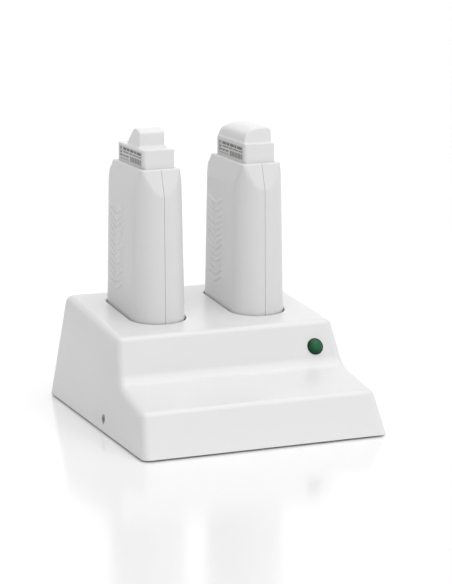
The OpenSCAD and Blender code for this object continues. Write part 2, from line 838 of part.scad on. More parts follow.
// the snap-disc thermostat on the back of the sleeve
module thermostat() {
    y0 = sleeve_l / 2 + sleeve_t;
    color("saddlebrown")
    translate([0, 0, plate_z0 + 20])
        difference() {
            union() {
                rod_y(7, y0, y0 + 5);
                rod_y(5.4, y0 + 5, y0 + 7);
                for (s = [-1, 1])
                    translate([s * 3.2 - 1.2, y0 + 7, -0.4]) cube([2.4, 3, 0.8]);
            }
            rod_y(1, y0 + 6, y0 + 9);
        }
}

// the two-hole socket in a heater's foot
module heater_socket() {
    color("dimgray")
    difference() {
        union() {
            block(plug_w, plug_l, foot_z, foot_z + plug_h, 1.8);
            block(plug_w + 5, plug_l + 5, foot_z + shell_t + 0.1, foot_z + shell_t + 2.5, 2);
        }
        for (s = [-1, 1])
            translate([0, s * pin_gap / 2, foot_z - 1]) cylinder(d = pin_d + 2 * slack, h = pin_up + 3);
    }
}

module heater_wiring() {
    plate_x = sleeve_w / 2 + sleeve_t + plate_t / 2;
    color("firebrick")
    for (s = [-1, 1])
        wire([0, s * pin_gap / 2, foot_z + plug_h + slack], [0, 0, 10],
            [s * plate_x, s * 6, plate_z0 - slack], [s * 5, 0, -26]);
}

// ---------------------------------------------------------------- cartridge

module wax_tank() {
    color("honeydew")
    difference() {
        block(tank_w, tank_l, tank_z, tank_top, sleeve_r - slack);
        block(tank_w - 2 * tank_t, tank_l - 2 * tank_t, tank_z + tank_t, far, sleeve_r - slack - tank_t);
    }
}

module wax() {
    color("peru")
    block(tank_w - 2 * tank_t - touch, tank_l - 2 * tank_t - touch, tank_z + tank_t, tank_top - neck_h - 4,
        sleeve_r - slack - tank_t);
}

// a collar with cheeks that carry a roller of diameter d and length l at y, with its axis at height z,
// and a low seat for a cap; the wax comes up through a hole as long as the trough
module roller_head(d, l, y, z, trough_l, seat) {
    half = l / 2 + cheek_gap;
    color("white")
    difference() {
        union() {
            block(collar_w, collar_l, tank_top + touch, collar_z, collar_r);
            // the neck that plugs into the tank
            block(tank_w - 2 * tank_t - 2 * screw_fit, tank_l - 2 * tank_t - 2 * screw_fit,
                tank_top - neck_h, tank_top + 1, sleeve_r - slack - tank_t);
            // the seat that the cap fits round
            translate([0, seat[2], 0]) block(seat[0], seat[1], collar_z - 1, collar_z + 1, 1);
            for (t = [-1, 1])
                translate([0, y + t * (half + cheek_t / 2), 0]) {
                    translate([0, 0, z]) rod_y(cheek_r, -cheek_t / 2, cheek_t / 2);
                    translate([-cheek_r, -cheek_t / 2, collar_z - 1]) cube([2 * cheek_r, cheek_t, z - collar_z + 1]);
                }
        }
        // the trough under the roller, and the way down into the tank
        translate([0, y, z]) rod_y(d / 2 + cheek_gap, -half, half);
        translate([0, y, 0]) block(feed_w, trough_l, tank_top - neck_h - 1, z, 2);
        translate([0, y, z]) rod_y(axle_d / 2 + run_fit, -half - cheek_t - 1, half + cheek_t + 1);
    }
}

module roller(d, l, y, z) {
    color("white")
    translate([0, y, z])
        rotate([-90, 0, 0])
            rotate_extrude()
                polygon([[0, -l / 2 - cheek_gap - cheek_t], [axle_d / 2, -l / 2 - cheek_gap - cheek_t],
                    [axle_d / 2, -l / 2], [d / 2 - 0.6, -l / 2], [d / 2, -l / 2 + 0.6], [d / 2, l / 2 - 0.6],
                    [d / 2 - 0.6, l / 2], [axle_d / 2, l / 2], [axle_d / 2, l / 2 + cheek_gap + cheek_t],
                    [0, l / 2 + cheek_gap + cheek_t]]);
}

// a seat that fits inside a cap of width w and length l whose middle is at y
function seat_for(w, l, y) = [w - 2 * cap_t - 2 * slack, l - 2 * cap_t - 4 * slack, y];
module wide_head() {
    roller_head(wide_roller_d, wide_roller_l, wide_roller_y, wide_axis_z, wide_roller_l - 8,
        seat_for(wide_cap_w - 2 * cap_step, wide_cap_l - 2 * cap_step, 0));
}
module narrow_head() {
    roller_head(narrow_roller_d, narrow_roller_l, narrow_roller_y, narrow_axis_z, narrow_roller_l - 3,
        seat_for(narrow_cap_w, narrow_cap_l, narrow_cap_y + narrow_cap_l / 2));
}
module wide_roller() { roller(wide_roller_d, wide_roller_l, wide_roller_y, wide_axis_z); }
module narrow_roller() { roller(narrow_roller_d, narrow_roller_l, narrow_roller_y, narrow_axis_z); }

// the blank label on the collar's left side
module label() {
    margin = collar_r + 0.5;
    color("snow")
    translate([-collar_w / 2 - label_t, margin - collar_l / 2, top_of_heater + 1.2])
        cube([label_t, collar_l - 2 * margin, collar_h - 3]);
}

// a cap's form from two outlines, the first seen from the front and the second from the left
module two_views() {
    intersection() {
        rotate([90, 0, 0]) translate([0, 0, -far / 2]) linear_extrude(far) children(0);
        rotate([90, 0, 90]) translate([0, 0, -far / 2]) linear_extrude(far) children(1);
    }
}

// a concave fillet on the side s of a wall at x, standing on z
module foot_fillet(x, z, s, r) {
    difference() {
        translate([s > 0 ? x - 0.1 : x - r, z]) square([r + 0.1, r]);
        translate([x + s * r, z + r]) circle(r);
    }
}

// the wide cap from the front: the left wall is flush with the collar, and one arc roofs the roller
module wide_cap_front(inset) {
    left_x = wide_cap_w / 2 - inset;
    right_x = wide_cap_w / 2 - cap_step - inset;
    run = wide_cap_w / 2 + wide_crest_x;
    drop = wide_cap_h - wide_shoulder;
    arch_r = (run * run + drop * drop) / (2 * drop);
    intersection() {
        polygon([[-left_x, cap_z - 1], [right_x, cap_z - 1], [right_x, cap_z + wide_cap_h],
            [-left_x + 2 * cap_step, cap_z + wide_cap_h], [-left_x + cap_step / 2, cap_z + wide_shoulder]]);
        translate([wide_crest_x, cap_z + wide_cap_h - arch_r]) circle(arch_r - inset);
    }
    if (inset == 0) foot_fillet(right_x, cap_z, 1, cap_step);
}

// the wide cap from the left: an upright front on a fillet, and a rounded back
module wide_cap_side(inset) {
    half = wide_cap_l / 2 - inset;
    front = half - cap_step;
    crest = cap_z + wide_cap_h - inset;
    back_r = wide_cap_h + 1.5 - inset;
    translate([-front, cap_z - 1]) square([front + half - back_r, crest - cap_z + 1]);
    intersection() {
        translate([half - back_r, crest - back_r]) circle(back_r);
        translate([-front, cap_z - 1]) square([front + half, wide_cap_h + 1]);
    }
    if (inset == 0) foot_fillet(-front, cap_z, -1, cap_step);
}

module wide_cap() {
    color("white")
    difference() {
        intersection() {
            two_views() { wide_cap_front(0); wide_cap_side(0); }
            translate([0, 0, cap_z]) linear_extrude(far) bullet(wide_cap_w, wide_cap_l, collar_r, 5);
        }
        two_views() { wide_cap_front(cap_t); wide_cap_side(cap_t); }
    }
}

// the narrow cap from the front: a plain tower on a fillet
module narrow_cap_front(inset) {
    half = narrow_cap_w / 2 - inset;
    translate([-half, cap_z - 1]) square([2 * half, narrow_cap_h + 1]);
    if (inset == 0)
        for (s = [-1, 1]) foot_fillet(s * half, cap_z, s, cap_step);
}

// the narrow cap from the left: an upright front and a sloping back under a round top
module narrow_cap_side(inset) {
    y0 = narrow_cap_y + inset;
    y1 = narrow_cap_y + narrow_cap_l - inset;
    crest = cap_z + narrow_cap_h - inset;
    polygon([[y0, cap_z - 1], [y1, cap_z - 1], [y1, cap_z + 1], [y1 - 2, cap_z + 3.4], [y1 - 6, cap_z + 7],
        [y1 - 10, cap_z + 10.6], [y1 - 14, crest - 1.8], [y1 - 18, crest - 0.1], [y0 + 8, crest - 0.1],
        [y0 + 1.9, crest - 1.9], [y0 + 0.6, crest - 2.4], [y0, crest - 3.2]]);
    if (inset == 0) foot_fillet(y0, cap_z, -1, cap_step);
}

module narrow_cap() {
    color("white")
    difference() {
        intersection() {
            two_views() { narrow_cap_front(0); narrow_cap_side(0); }
            block(far, far, cap_z, far, 1);
        }
        two_views() { narrow_cap_front(cap_t); narrow_cap_side(cap_t); }
    }
}

// ---------------------------------------------------------------- pieces

base_housing();
base_plate();
rubber_feet();
side_screws();
liner_screws();
left() well_liner();  // left_well_liner
right() well_liner();  // right_well_liner
left() contact_block();  // left_contact_block
right() contact_block();  // right_contact_block
left() contact_pins();  // left_contact_pins
right() contact_pins();  // right_contact_pins
pilot_lens();
pilot_bezel();
pilot_nut();
pilot_bulb();
mains_inlet();
mains_pins();
terminal_block();
dock_wiring();
left() heater_shell(-1);  // left_heater_shell_a
left() heater_shell(1);  // left_heater_shell_b
left() shell_screws();  // left_shell_screws
left() heat_sleeve();  // left_heat_sleeve
left() heat_plates();  // left_heat_plates
left() thermostat();  // left_thermostat
left() heater_socket();  // left_heater_socket
left() heater_wiring();  // left_heater_wiring
right() heater_shell(-1);  // right_heater_shell_a
right() heater_shell(1);  // right_heater_shell_b
right() shell_screws();  // right_shell_screws
right() heat_sleeve();  // right_heat_sleeve
right() heat_plates();  // right_heat_plates
right() thermostat();  // right_thermostat
right() heater_socket();  // right_heater_socket
right() heater_wiring();  // right_heater_wiring
left() wax_tank();  // left_wax_tank
left() wax();  // left_wax
left() narrow_head();  // left_roller_head
left() label();  // left_label
left() narrow_roller();  // left_roller
left() narrow_cap();  // left_cap
right() wax_tank();  // right_wax_tank
right() wax();  // right_wax
right() wide_head();  // right_roller_head
right() label();  // right_label
right() wide_roller();  // right_roller
right() wide_cap();  // right_cap
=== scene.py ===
"""Roll-on wax heater: fine forms, finishes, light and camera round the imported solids.

Forms are worked out in millimetres and turned into metres when a mesh is made.
"""
import logging
import math
from dataclasses import dataclass
from enum import Enum
from functools import cache
from typing import Callable, Sequence

import bmesh
import bpy
import numpy as np
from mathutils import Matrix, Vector


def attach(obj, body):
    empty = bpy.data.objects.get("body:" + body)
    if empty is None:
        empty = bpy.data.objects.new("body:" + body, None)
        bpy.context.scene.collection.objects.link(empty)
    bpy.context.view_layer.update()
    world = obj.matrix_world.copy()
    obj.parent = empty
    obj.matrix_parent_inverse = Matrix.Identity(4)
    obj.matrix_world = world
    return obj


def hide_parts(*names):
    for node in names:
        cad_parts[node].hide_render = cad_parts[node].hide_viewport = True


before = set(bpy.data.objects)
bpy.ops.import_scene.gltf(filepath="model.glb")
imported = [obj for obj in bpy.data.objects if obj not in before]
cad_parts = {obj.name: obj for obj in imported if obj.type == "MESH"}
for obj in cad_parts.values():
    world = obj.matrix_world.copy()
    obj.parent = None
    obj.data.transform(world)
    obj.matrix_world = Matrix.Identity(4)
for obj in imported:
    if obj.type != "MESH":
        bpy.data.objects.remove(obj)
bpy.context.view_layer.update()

logging.basicConfig(level=logging.INFO, format="%(message)s")
LOG = logging.getLogger("wax_heater")

MM = 0.001
PHOTO_W = 452
CORNER_STEPS = 12
Colour = tuple[float, float, float]
Array = np.ndarray
Field = Callable[[Array], Array]


# ---------------------------------------------------------------- shader maths


class Tree:
    """A material's node tree, with one method that makes any node."""

    def __init__(self, tree: bpy.types.NodeTree) -> None:
        """Start from an empty tree."""
        self.tree = tree
        tree.nodes.clear()

    def node(self, kind: str, settings: dict | None = None,
             values: dict | None = None) -> bpy.types.Node:
        """Make a node.

        Args:
            kind: the node's type, such as ShaderNodeMath.
            settings: the node's own settings, which are set first.
            values: socket name or number to a constant, a Val or a socket.

        Returns:
            The new node.
        """
        made = self.tree.nodes.new(kind)
        for name, value in (settings or {}).items():
            setattr(made, name, value)
        for key, value in (values or {}).items():
            self.feed(made.inputs[key], value)
        return made

    def feed(self, socket: bpy.types.NodeSocket, value: object) -> None:
        """Set a socket, or link it.

        Args:
            socket: the input to feed.
            value: a constant, a Val or another node's output.
        """
        if isinstance(value, Val):
            value = value.socket
        if isinstance(value, bpy.types.NodeSocket):
            self.tree.links.new(value, socket)
        elif isinstance(value, tuple) and len(value) == 3 and socket.type == "RGBA":
            socket.default_value = (*value, 1)
        else:
            socket.default_value = value

    def val(self, node: bpy.types.Node, output: str | int = 0) -> "Val":
        """Wrap a node's output for maths."""
        return Val(self, node.outputs[output])


@dataclass(frozen=True)
class Val:
    """A number that varies over a surface. The operators add Math nodes."""

    tree: Tree
    socket: bpy.types.NodeSocket

    def _math(self, operation: str, *values: object) -> "Val":
        """Add one Math node and wrap its result."""
        made = self.tree.node("ShaderNodeMath", {"operation": operation}, dict(enumerate(values)))
        return self.tree.val(made)

    def __add__(self, other: object) -> "Val":
        """Sum."""
        return self._math("ADD", self, other)

    __radd__ = __add__

    def __mul__(self, other: object) -> "Val":
        """Product."""
        return self._math("MULTIPLY", self, other)

    __rmul__ = __mul__

    def __sub__(self, other: object) -> "Val":
        """Difference."""
        return self._math("SUBTRACT", self, other)

    def __rsub__(self, other: object) -> "Val":
        """Difference, the other way round."""
        return self._math("SUBTRACT", other, self)

    def __gt__(self, other: object) -> "Val":
        """One where this is the greater."""
        return self._math("GREATER_THAN", self, other)

    def __abs__(self) -> "Val":
        """Size without sign."""
        return self._math("ABSOLUTE", self)

    def frac(self) -> "Val":
        """What is left after the whole number."""
        return self._math("FRACT", self)

    def root(self) -> "Val":
        """Square root."""
        return self._math("SQRT", self)

    def capped(self, high: float) -> "Val":
        """The lesser of this and a constant."""
        return self._math("MINIMUM", self, high)

    def span(self, low: float, high: float) -> "Val":
        """Map low..high to 0..1 smoothly, and hold outside.

        Args:
            low: value that gives 0.
            high: value that gives 1.

        Returns:
            The mapped value.
        """
        made = self.tree.node("ShaderNodeMapRange", {"interpolation_type": "SMOOTHSTEP"},
                              {"Value": self, "From Min": low, "From Max": high})
        return self.tree.val(made)


class Surface(Tree):
    """A material under construction: coordinates in millimetres and one Principled shader."""

    def __init__(self, name: str) -> None:
        """Make the material with its shader and its object coordinates.

        Args:
            name: the material's name.
        """
        self.material = bpy.data.materials.new(name)
        self.material.use_nodes = True
        super().__init__(self.material.node_tree)
        self.shader = self.node("ShaderNodeBsdfPrincipled")
        out = self.node("ShaderNodeOutputMaterial")
        self.feed(out.inputs["Surface"], self.shader.outputs[0])
        where = self.node("ShaderNodeTexCoord")
        scaled = self.node("ShaderNodeVectorMath", {"operation": "SCALE"},
                           {0: where.outputs["Object"], "Scale": 1 / MM})
        self.place = scaled.outputs[0]
        parts = self.node("ShaderNodeSeparateXYZ", values={0: self.place})
        self.x, self.y, self.z = (self.val(parts, i) for i in range(3))

    def noise(self, grain_mm: float, detail: float = 2.0, rough: float = 0.5) -> Val:
        """A cloudy value round 0.5 whose lumps are grain_mm across."""
        made = self.node("ShaderNodeTexNoise", {"noise_dimensions": "3D"},
                         {"Vector": self.place, "Scale": 1 / grain_mm, "Detail": detail,
                          "Roughness": rough})
        return self.val(made)

    def cells(self, cell_mm: float) -> Val:
        """Distance to the nearest of many points that stand cell_mm apart."""
        made = self.node("ShaderNodeTexVoronoi", {"feature": "F1"},
                         {"Vector": self.place, "Scale": 1 / cell_mm})
        return self.val(made, "Distance")

    def blend(self, share: Val, low: Colour, high: Colour) -> bpy.types.NodeSocket:
        """Mix two colours by a share.

        Args:
            share: 0 for low, 1 for high.
            low: linear colour, or a socket.
            high: linear colour, or a socket.

        Returns:
            The colour socket.
        """
        made = self.node("ShaderNodeMix", {"data_type": "RGBA"}, {0: share, 6: low, 7: high})
        return made.outputs[2]

    def relief(self, height: Val, depth_mm: float,
               below: bpy.types.NodeSocket | None = None) -> bpy.types.NodeSocket:
        """Turn a height into a bumped normal.

        Args:
            height: 0..1 over the surface.
            depth_mm: what a height of one stands for.
            below: a normal that this one adds to.

        Returns:
            The normal socket.
        """
        values = {"Height": height, "Distance": depth_mm * MM, "Strength": 1.0}
        if below is not None:
            values["Normal"] = below
        return self.node("ShaderNodeBump", values=values).outputs[0]

    def set(self, **values: object) -> None:
        """Feed the shader's sockets, named with _ for a space."""
        for name, value in values.items():
            self.feed(self.shader.inputs[name.replace("_", " ")], value)


def shade(colour: Colour, factor: float) -> Colour:
    """A colour made lighter or darker."""
    return tuple(min(1.0, c * factor) for c in colour)


# ---------------------------------------------------------------- finishes


@dataclass(frozen=True)
class Paint:
    """A finish: the record's slot that it stands for, its colour and how it is made."""

    name: str
    colour: Colour

    def paint(self, s: Surface) -> None:
        """Set the shader of a new material, in each kind of finish."""
        raise NotImplementedError

    def build(self) -> bpy.types.Material:
        """Make the material.

        Returns:
            The material, named after the slot.
        """
        s = Surface(self.name)
        self.paint(s)
        return s.material


@dataclass(frozen=True)
class Moulded(Paint):
    """Spark-grained moulded plastic: slow tone drift, fine grain, polished edges and a painted
    highlight on convex edges.
    """

    roughness: float = 0.42
    grain_mm: float = 0.45
    grain_depth: float = 0.010
    drift: float = 0.008
    wave_depth: float = 0.012
    specular: float = 0.5
    scatter: float = 0.0

    def paint(self, s: Surface) -> None:
        """Set the shader.

        Args:
            s: the material under construction.
        """
        slow = s.noise(38, 3).span(0.3, 0.7)
        fine = s.noise(self.grain_mm, 2.5, 0.6)
        pits = s.cells(self.grain_mm * 2.2)
        edge = s.val(s.node("ShaderNodeNewGeometry"), "Pointiness").span(0.53, 0.62)
        colour = s.blend(slow, shade(self.colour, 1 - self.drift), self.colour)
        # painted highlight: convex edges get a lighter colour here; the lower roughness on them below
        # is their real polish
        colour = s.blend(edge * 0.5, colour, shade(self.colour, 1.06))
        rough = self.roughness + (fine - 0.5) * 0.10 + (slow - 0.5) * 0.02 - edge * 0.08
        normal = s.relief(s.noise(14, 1.0), self.wave_depth)
        normal = s.relief(fine * 0.7 + pits * 0.3, self.grain_depth, normal)
        s.set(Base_Color=colour, Roughness=rough, Normal=normal, Specular_IOR_Level=self.specular)
        if self.scatter:
            s.set(Subsurface_Weight=self.scatter, Subsurface_Radius=(0.004, 0.003, 0.0025))


@dataclass(frozen=True)
class Metal(Paint):
    """Metal with fine lines along one axis, rubbed edges and a dull bloom."""

    roughness: float = 0.3
    line_mm: float = 0.12
    along: str = "z"
    bloom: float = 0.12

    def paint(self, s: Surface) -> None:
        """Set the shader.

        Args:
            s: the material under construction.
        """
        stretch = tuple(0.04 if axis == self.along else 1.0 for axis in "xyz")
        drawn = s.node("ShaderNodeVectorMath", {"operation": "MULTIPLY"}, {0: s.place, 1: stretch})
        lines = s.val(s.node("ShaderNodeTexNoise", values={
            "Vector": drawn.outputs[0], "Scale": 1 / self.line_mm, "Detail": 2.0}))
        cloud = s.noise(3.5, 3).span(0.35, 0.75)
        colour = s.blend(cloud * 0.6, self.colour, shade(self.colour, 0.82))
        rough = self.roughness + cloud * self.bloom + (lines - 0.5) * 0.15
        s.set(Base_Color=colour, Metallic=1.0, Roughness=rough, Normal=s.relief(lines, 0.004))


@dataclass(frozen=True)
class Rubber(Paint):
    """Matt rubber with dust in its pores."""

    def paint(self, s: Surface) -> None:
        """Set the shader.

        Args:
            s: the material under construction.
        """
        pores = s.cells(0.9)
        dust = s.noise(5, 4).span(0.45, 0.7)
        colour = s.blend(dust * 0.5, self.colour, shade(self.colour, 1.9))
        s.set(Base_Color=colour, Roughness=0.72 + dust * 0.15,
              Normal=s.relief(pores + s.noise(0.3), 0.02))


@dataclass(frozen=True)
class LampLens(Paint):
    """Deep green glossy plastic with faint prism rings round its axis, a painted glow in the middle and
    painted shade towards the rim.
    """

    centre: tuple[float, float, float]
    axis: tuple[float, float, float]
    ring_mm: float = 1.1

    def paint(self, s: Surface) -> None:
        """Set the shader.

        Args:
            s: the material under construction.
        """
        off = s.node("ShaderNodeVectorMath", {"operation": "SUBTRACT"}, {0: s.place, 1: self.centre})
        across = s.node("ShaderNodeVectorMath", {"operation": "CROSS_PRODUCT"},
                        {0: off.outputs[0], 1: self.axis})
        length = s.node("ShaderNodeVectorMath", {"operation": "LENGTH"}, {0: across.outputs[0]})
        radius = s.val(length, "Value")
        ring = abs((radius * (1 / self.ring_mm)).frac() - 0.5) * 2
        # painted glow and shade: the colour is lighter near the axis and much darker towards the rim
        deep = radius.span(1.5, 6.4)
        colour = s.blend(deep, shade(self.colour, 1.1), shade(self.colour, 0.4))
        colour = s.blend(ring * 0.35, colour, shade(self.colour, 0.7))
        s.set(Base_Color=colour, Roughness=0.2 + ring * 0.05, Normal=s.relief(ring, 0.01),
              Specular_IOR_Level=0.12, Coat_Weight=0.12, Coat_Roughness=0.06)


@dataclass(frozen=True)
class Wax(Paint):
    """Set honey wax with slow clouds and small bubbles."""

    def paint(self, s: Surface) -> None:
        """Set the shader.

        Args:
            s: the material under construction.
        """
        cloud = s.noise(9, 4).span(0.3, 0.7)
        bubbles = 1 - s.cells(1.6).span(0.1, 0.3)
        colour = s.blend(cloud, self.colour, shade(self.colour, 1.5))
        colour = s.blend(bubbles * 0.4, colour, (0.85, 0.6, 0.25))
        s.set(Base_Color=colour, Roughness=0.24 + cloud * 0.12, Normal=s.relief(s.noise(4), 0.15),
              Subsurface_Weight=0.35, Subsurface_Radius=(0.006, 0.003, 0.001))


@dataclass(frozen=True)
class Sticker(Paint):
    """Coated paper with a thin frame, a ring, bars and a comb of strokes, and nothing written."""

    ink: Colour
    rear_y: float
    low_z: float
    size: tuple[float, float]
    rows: tuple[tuple[float, float, float, tuple[tuple[float, float], ...]], ...]
    frame_in: tuple[float, float] = (0.7, 1.0)
    ring_at: tuple[float, float] = (5.7, 8.6)
    ring_r: float = 2.2
    comb: tuple[float, float, float, float] = (27.5, 54.3, 1.3, 5.6)
    soft: float = 0.1

    def bar(self, u: Val, v: Val, box: Sequence[float]) -> Val:
        """One where a printed rectangle is.

        Args:
            u: place along the sticker, from its rear end.
            v: height on the sticker.
            box: the rectangle's start, end, lower edge and upper edge.

        Returns:
            The mask.
        """
        masks = []
        for place, (low, high) in ((u, box[:2]), (v, box[2:])):
            half = (high - low) / 2
            masks.append(1 - abs(place - (low + high) / 2).span(half - self.soft, half + self.soft))
        return masks[0] * masks[1]

    def paint(self, s: Surface) -> None:
        """Set the shader.

        Args:
            s: the material under construction.
        """
        u, v = self.rear_y - s.y, s.z - self.low_z
        w, h = self.size
        outer, inner = (self.bar(u, v, (d, w - d, d, h - d)) for d in self.frame_in)
        off_u, off_v = u - self.ring_at[0], v - self.ring_at[1]
        apart = (off_u * off_u + off_v * off_v).root()
        ink = (outer - inner) * 0.5 + (1 - abs(apart - self.ring_r).span(0.5, 0.8)) * 0.95
        teeth = ((u * 0.59).frac() > 0.5) + ((u * 0.43 + 0.2).frac() > 0.66)
        ink = ink + self.bar(u, v, self.comb) * teeth.capped(1.0) * 0.95
        for v0, v1, depth, spans in self.rows:
            for u0, u1 in spans:
                ink = ink + self.bar(u, v, (u0, u1, v0, v1)) * depth
        fibre = s.noise(0.25, 3)
        worn = s.noise(1.4, 3).span(0.25, 0.5) * 0.15 + 0.85
        paper = s.blend(fibre, shade(self.colour, 0.97), self.colour)
        s.set(Base_Color=s.blend(ink * worn, paper, self.ink), Roughness=0.42 + (fibre - 0.5) * 0.1,
              Normal=s.relief(fibre, 0.005))


@dataclass(frozen=True)
class Insulation(Paint):
    """Extruded wire covering with draw lines and a soft shine."""

    def paint(self, s: Surface) -> None:
        """Set the shader.

        Args:
            s: the material under construction.
        """
        streak = s.noise(1.2, 3)
        s.set(Base_Color=s.blend(streak, shade(self.colour, 0.85), shade(self.colour, 1.1)),
              Roughness=0.38 + (streak - 0.5) * 0.15, Normal=s.relief(s.noise(0.5), 0.01))


@dataclass(frozen=True)
class Ceramic(Paint):
    """Pressed, unglazed ceramic."""

    def paint(self, s: Surface) -> None:
        """Set the shader.

        Args:
            s: the material under construction.
        """
        specks = s.cells(1.1).span(0.08, 0.2)
        colour = s.blend(specks, shade(self.colour, 0.7), self.colour)
        s.set(Base_Color=colour, Roughness=0.7 + (s.noise(2) - 0.5) * 0.2,
              Normal=s.relief(s.noise(0.35, 4), 0.03))


@dataclass(frozen=True)
class Floor(Paint):
    """Plain pale floor."""

    def paint(self, s: Surface) -> None:
        """Set the shader.

        Args:
            s: the material under construction.
        """
        tone = s.noise(600, 2)
        s.set(Base_Color=s.blend(tone, shade(self.colour, 0.998), self.colour), Roughness=0.16,
              Specular_IOR_Level=0.5, Coat_Weight=0.4, Coat_Roughness=0.13)


SHANK_BORE = 1.6
HEAD_BORE = 3.3
LAMP_LEAN = math.radians(24.38)
LAMP_AT = (76.6, -38.56, 60.30)
LAMP_AXIS = (0.0, -math.cos(LAMP_LEAN), math.sin(LAMP_LEAN))
STATIONS = {"left": -43.0, "right": 47.0}
STATION_Y = 42.7


class Finish(Enum):
    """Every finish on the object, by the record's slot that it stands for."""

    HOUSING = Moulded("housing_white", (0.79, 0.79, 0.79), roughness=0.25, grain_depth=0.006)
    SHELL = Moulded("shell_white", (0.777, 0.777, 0.777), roughness=0.36, grain_depth=0.008)
    CAP = Moulded("cap_white", (0.85, 0.85, 0.85), roughness=0.3, grain_depth=0.005)
    HEAD = Moulded("head_white", (0.825, 0.825, 0.825), roughness=0.34, grain_depth=0.006)
    ROLLER = Moulded("roller_white", (0.80, 0.81, 0.82), roughness=0.22, grain_depth=0.003,
                     scatter=0.08)
    # painted shade: the well liners are dark grey so that they read as the shadow in the gaps round the
    # heaters
    LINER_PAINTED_SHADE = Moulded("liner_white", (0.17, 0.17, 0.172), roughness=0.5)
    PLATE = Moulded("plate_white", (0.74, 0.745, 0.74), roughness=0.55, grain_mm=0.8,
                    grain_depth=0.02)
    TANK = Moulded("tank_white", (0.78, 0.80, 0.78), roughness=0.3, scatter=0.15)
    NUT = Moulded("nut_nylon", (0.55, 0.54, 0.50), roughness=0.45)
    BEZEL = Moulded("bezel_dark", (0.008, 0.028, 0.018), roughness=0.3, grain_depth=0.003,
                    drift=0.1, specular=0.15)
    INSULATOR = Moulded("insulator_black", (0.022, 0.022, 0.023), roughness=0.4, drift=0.12)
    THERMOSTAT = Moulded("thermostat_brown", (0.11, 0.035, 0.015), roughness=0.35, drift=0.15)
    STEEL = Metal("screw_steel", (0.20, 0.20, 0.205), roughness=0.3)
    BRASS = Metal("contact_brass", (0.83, 0.60, 0.24), roughness=0.24)
    ALUMINIUM = Metal("sleeve_aluminium", (0.86, 0.86, 0.85), roughness=0.34, line_mm=0.2)
    RUBBER = Rubber("rubber_grey", (0.045, 0.046, 0.048))
    LENS = LampLens("lens_green", (0.008, 0.125, 0.045), LAMP_AT, LAMP_AXIS)
    BULB = LampLens("bulb_glass", (0.75, 0.20, 0.04), LAMP_AT, LAMP_AXIS, ring_mm=2.0)
    WAX = Wax("wax_honey", (0.50, 0.24, 0.045))
    LABEL = Sticker(
        "label_paper", (0.69, 0.69, 0.68), (0.035, 0.037, 0.04), STATION_Y + 28.4, 211.6, (56.8, 12.5),
        ((9.2, 11.3, 0.95, ((11, 19), (20.2, 26.5), (28, 36.5), (37.7, 42.3), (43.7, 54.3))),
         (6.9, 8.2, 0.75, ((11, 24), (25.2, 33), (34.2, 46), (47.2, 54.3))),
         (3.5, 5.2, 0.75, ((2.6, 10), (11, 16.4), (17.4, 24.5))),
         (1.4, 2.4, 0.5, ((2.6, 24.5),))))
    WIRE_BROWN = Insulation("wire_brown", (0.16, 0.06, 0.025))
    WIRE_RED = Insulation("wire_red", (0.42, 0.03, 0.02))
    CERAMIC = Ceramic("plate_ceramic", (0.72, 0.66, 0.55))
    FLOOR = Floor("floor_pale", (0.975, 0.975, 0.975))

    @cache
    def material(self) -> bpy.types.Material:
        """The finish's material, made the first time it is asked for."""
        return self.value.build()


# ---------------------------------------------------------------- forms in numbers


def smax(a: Array, b: Array, k: float) -> Array:
    """The greater of two fields, with a rounded change-over k wide."""
    h = np.clip(k - np.abs(a - b), 0, None) / k
    return np.maximum(a, b) + h * h * k / 4


def smin(a: Array, b: Array, k: float) -> Array:
    """The lesser of two fields, with a rounded change-over k wide."""
    return -smax(-a, -b, k)


def arc(centre: Sequence[float], radius: float, start: float, stop: float, steps: int) -> Array:
    """Points of an arc in a plane.

    Args:
        centre: the arc's centre.
        radius: its radius, or 0.
        start: first angle in degrees.
        stop: last angle in degrees.
        steps: number of segments.

    Returns:
        steps + 1 points.
    """
    turn = np.radians(np.linspace(start, stop, steps + 1))
    return np.array(centre) + radius * np.stack([np.cos(turn), np.sin(turn)], -1)


def level(loop: Array, z: Array | float) -> Array:
    """A plan's points lifted to a height."""
    return np.stack([loop[:, 0], loop[:, 1], 0 * loop[:, 0] + z], -1)


def oblong(x: float, y: float, z: float) -> list[tuple[float, float, float]]:
    """Corners of a level rectangle round the middle, from its half sizes."""
    return [(-x, -y, z), (x, -y, z), (x, y, z), (-x, y, z)]


def rod(r: float, z0: float, z1: float) -> list[tuple[float, float]]:
    """Profile of a plain cylinder."""
    return [(0, z0), (r, z0), (r, z1), (0, z1)]


def shoot(form: Field, base: Array, target: Array, reach: float = 1.15) -> Array:
    """Where rays from inside a form leave it.

    Args:
        form: negative inside, positive outside.
        base: points inside, one for each ray.
        target: points that the rays pass.
        reach: how far past the target a ray is followed, as a share.

    Returns:
        The points on the form's skin.
    """
    low = np.zeros(target.shape[:-1] + (1,))
    high = np.full_like(low, reach)
    for _ in range(34):
        mid = (low + high) / 2
        inside = (form(base + mid * (target - base)) < 0)[..., None]
        low, high = np.where(inside, mid, low), np.where(inside, high, mid)
    return base + low * (target - base)


def bullet_distance(x: Array, y: Array, half_w: Array, half_l: Array, front: Array,
                    back: Array) -> Array:
    """Signed distance to a rectangle with one radius on its front corners and one on its back corners.

    Args:
        x: across.
        y: front to back, with the front at -y.
        half_w: half its width.
        half_l: half its length.
        front: radius of the front corners.
        back: radius of the back corners.

    Returns:
        Negative inside.
    """
    r = np.where(y < 0, front, back)
    qx, qy = np.abs(x) - half_w + r, np.abs(y) - half_l + r
    outside = np.hypot(np.clip(qx, 0, None), np.clip(qy, 0, None))
    return np.minimum(np.maximum(qx, qy), 0) + outside - r


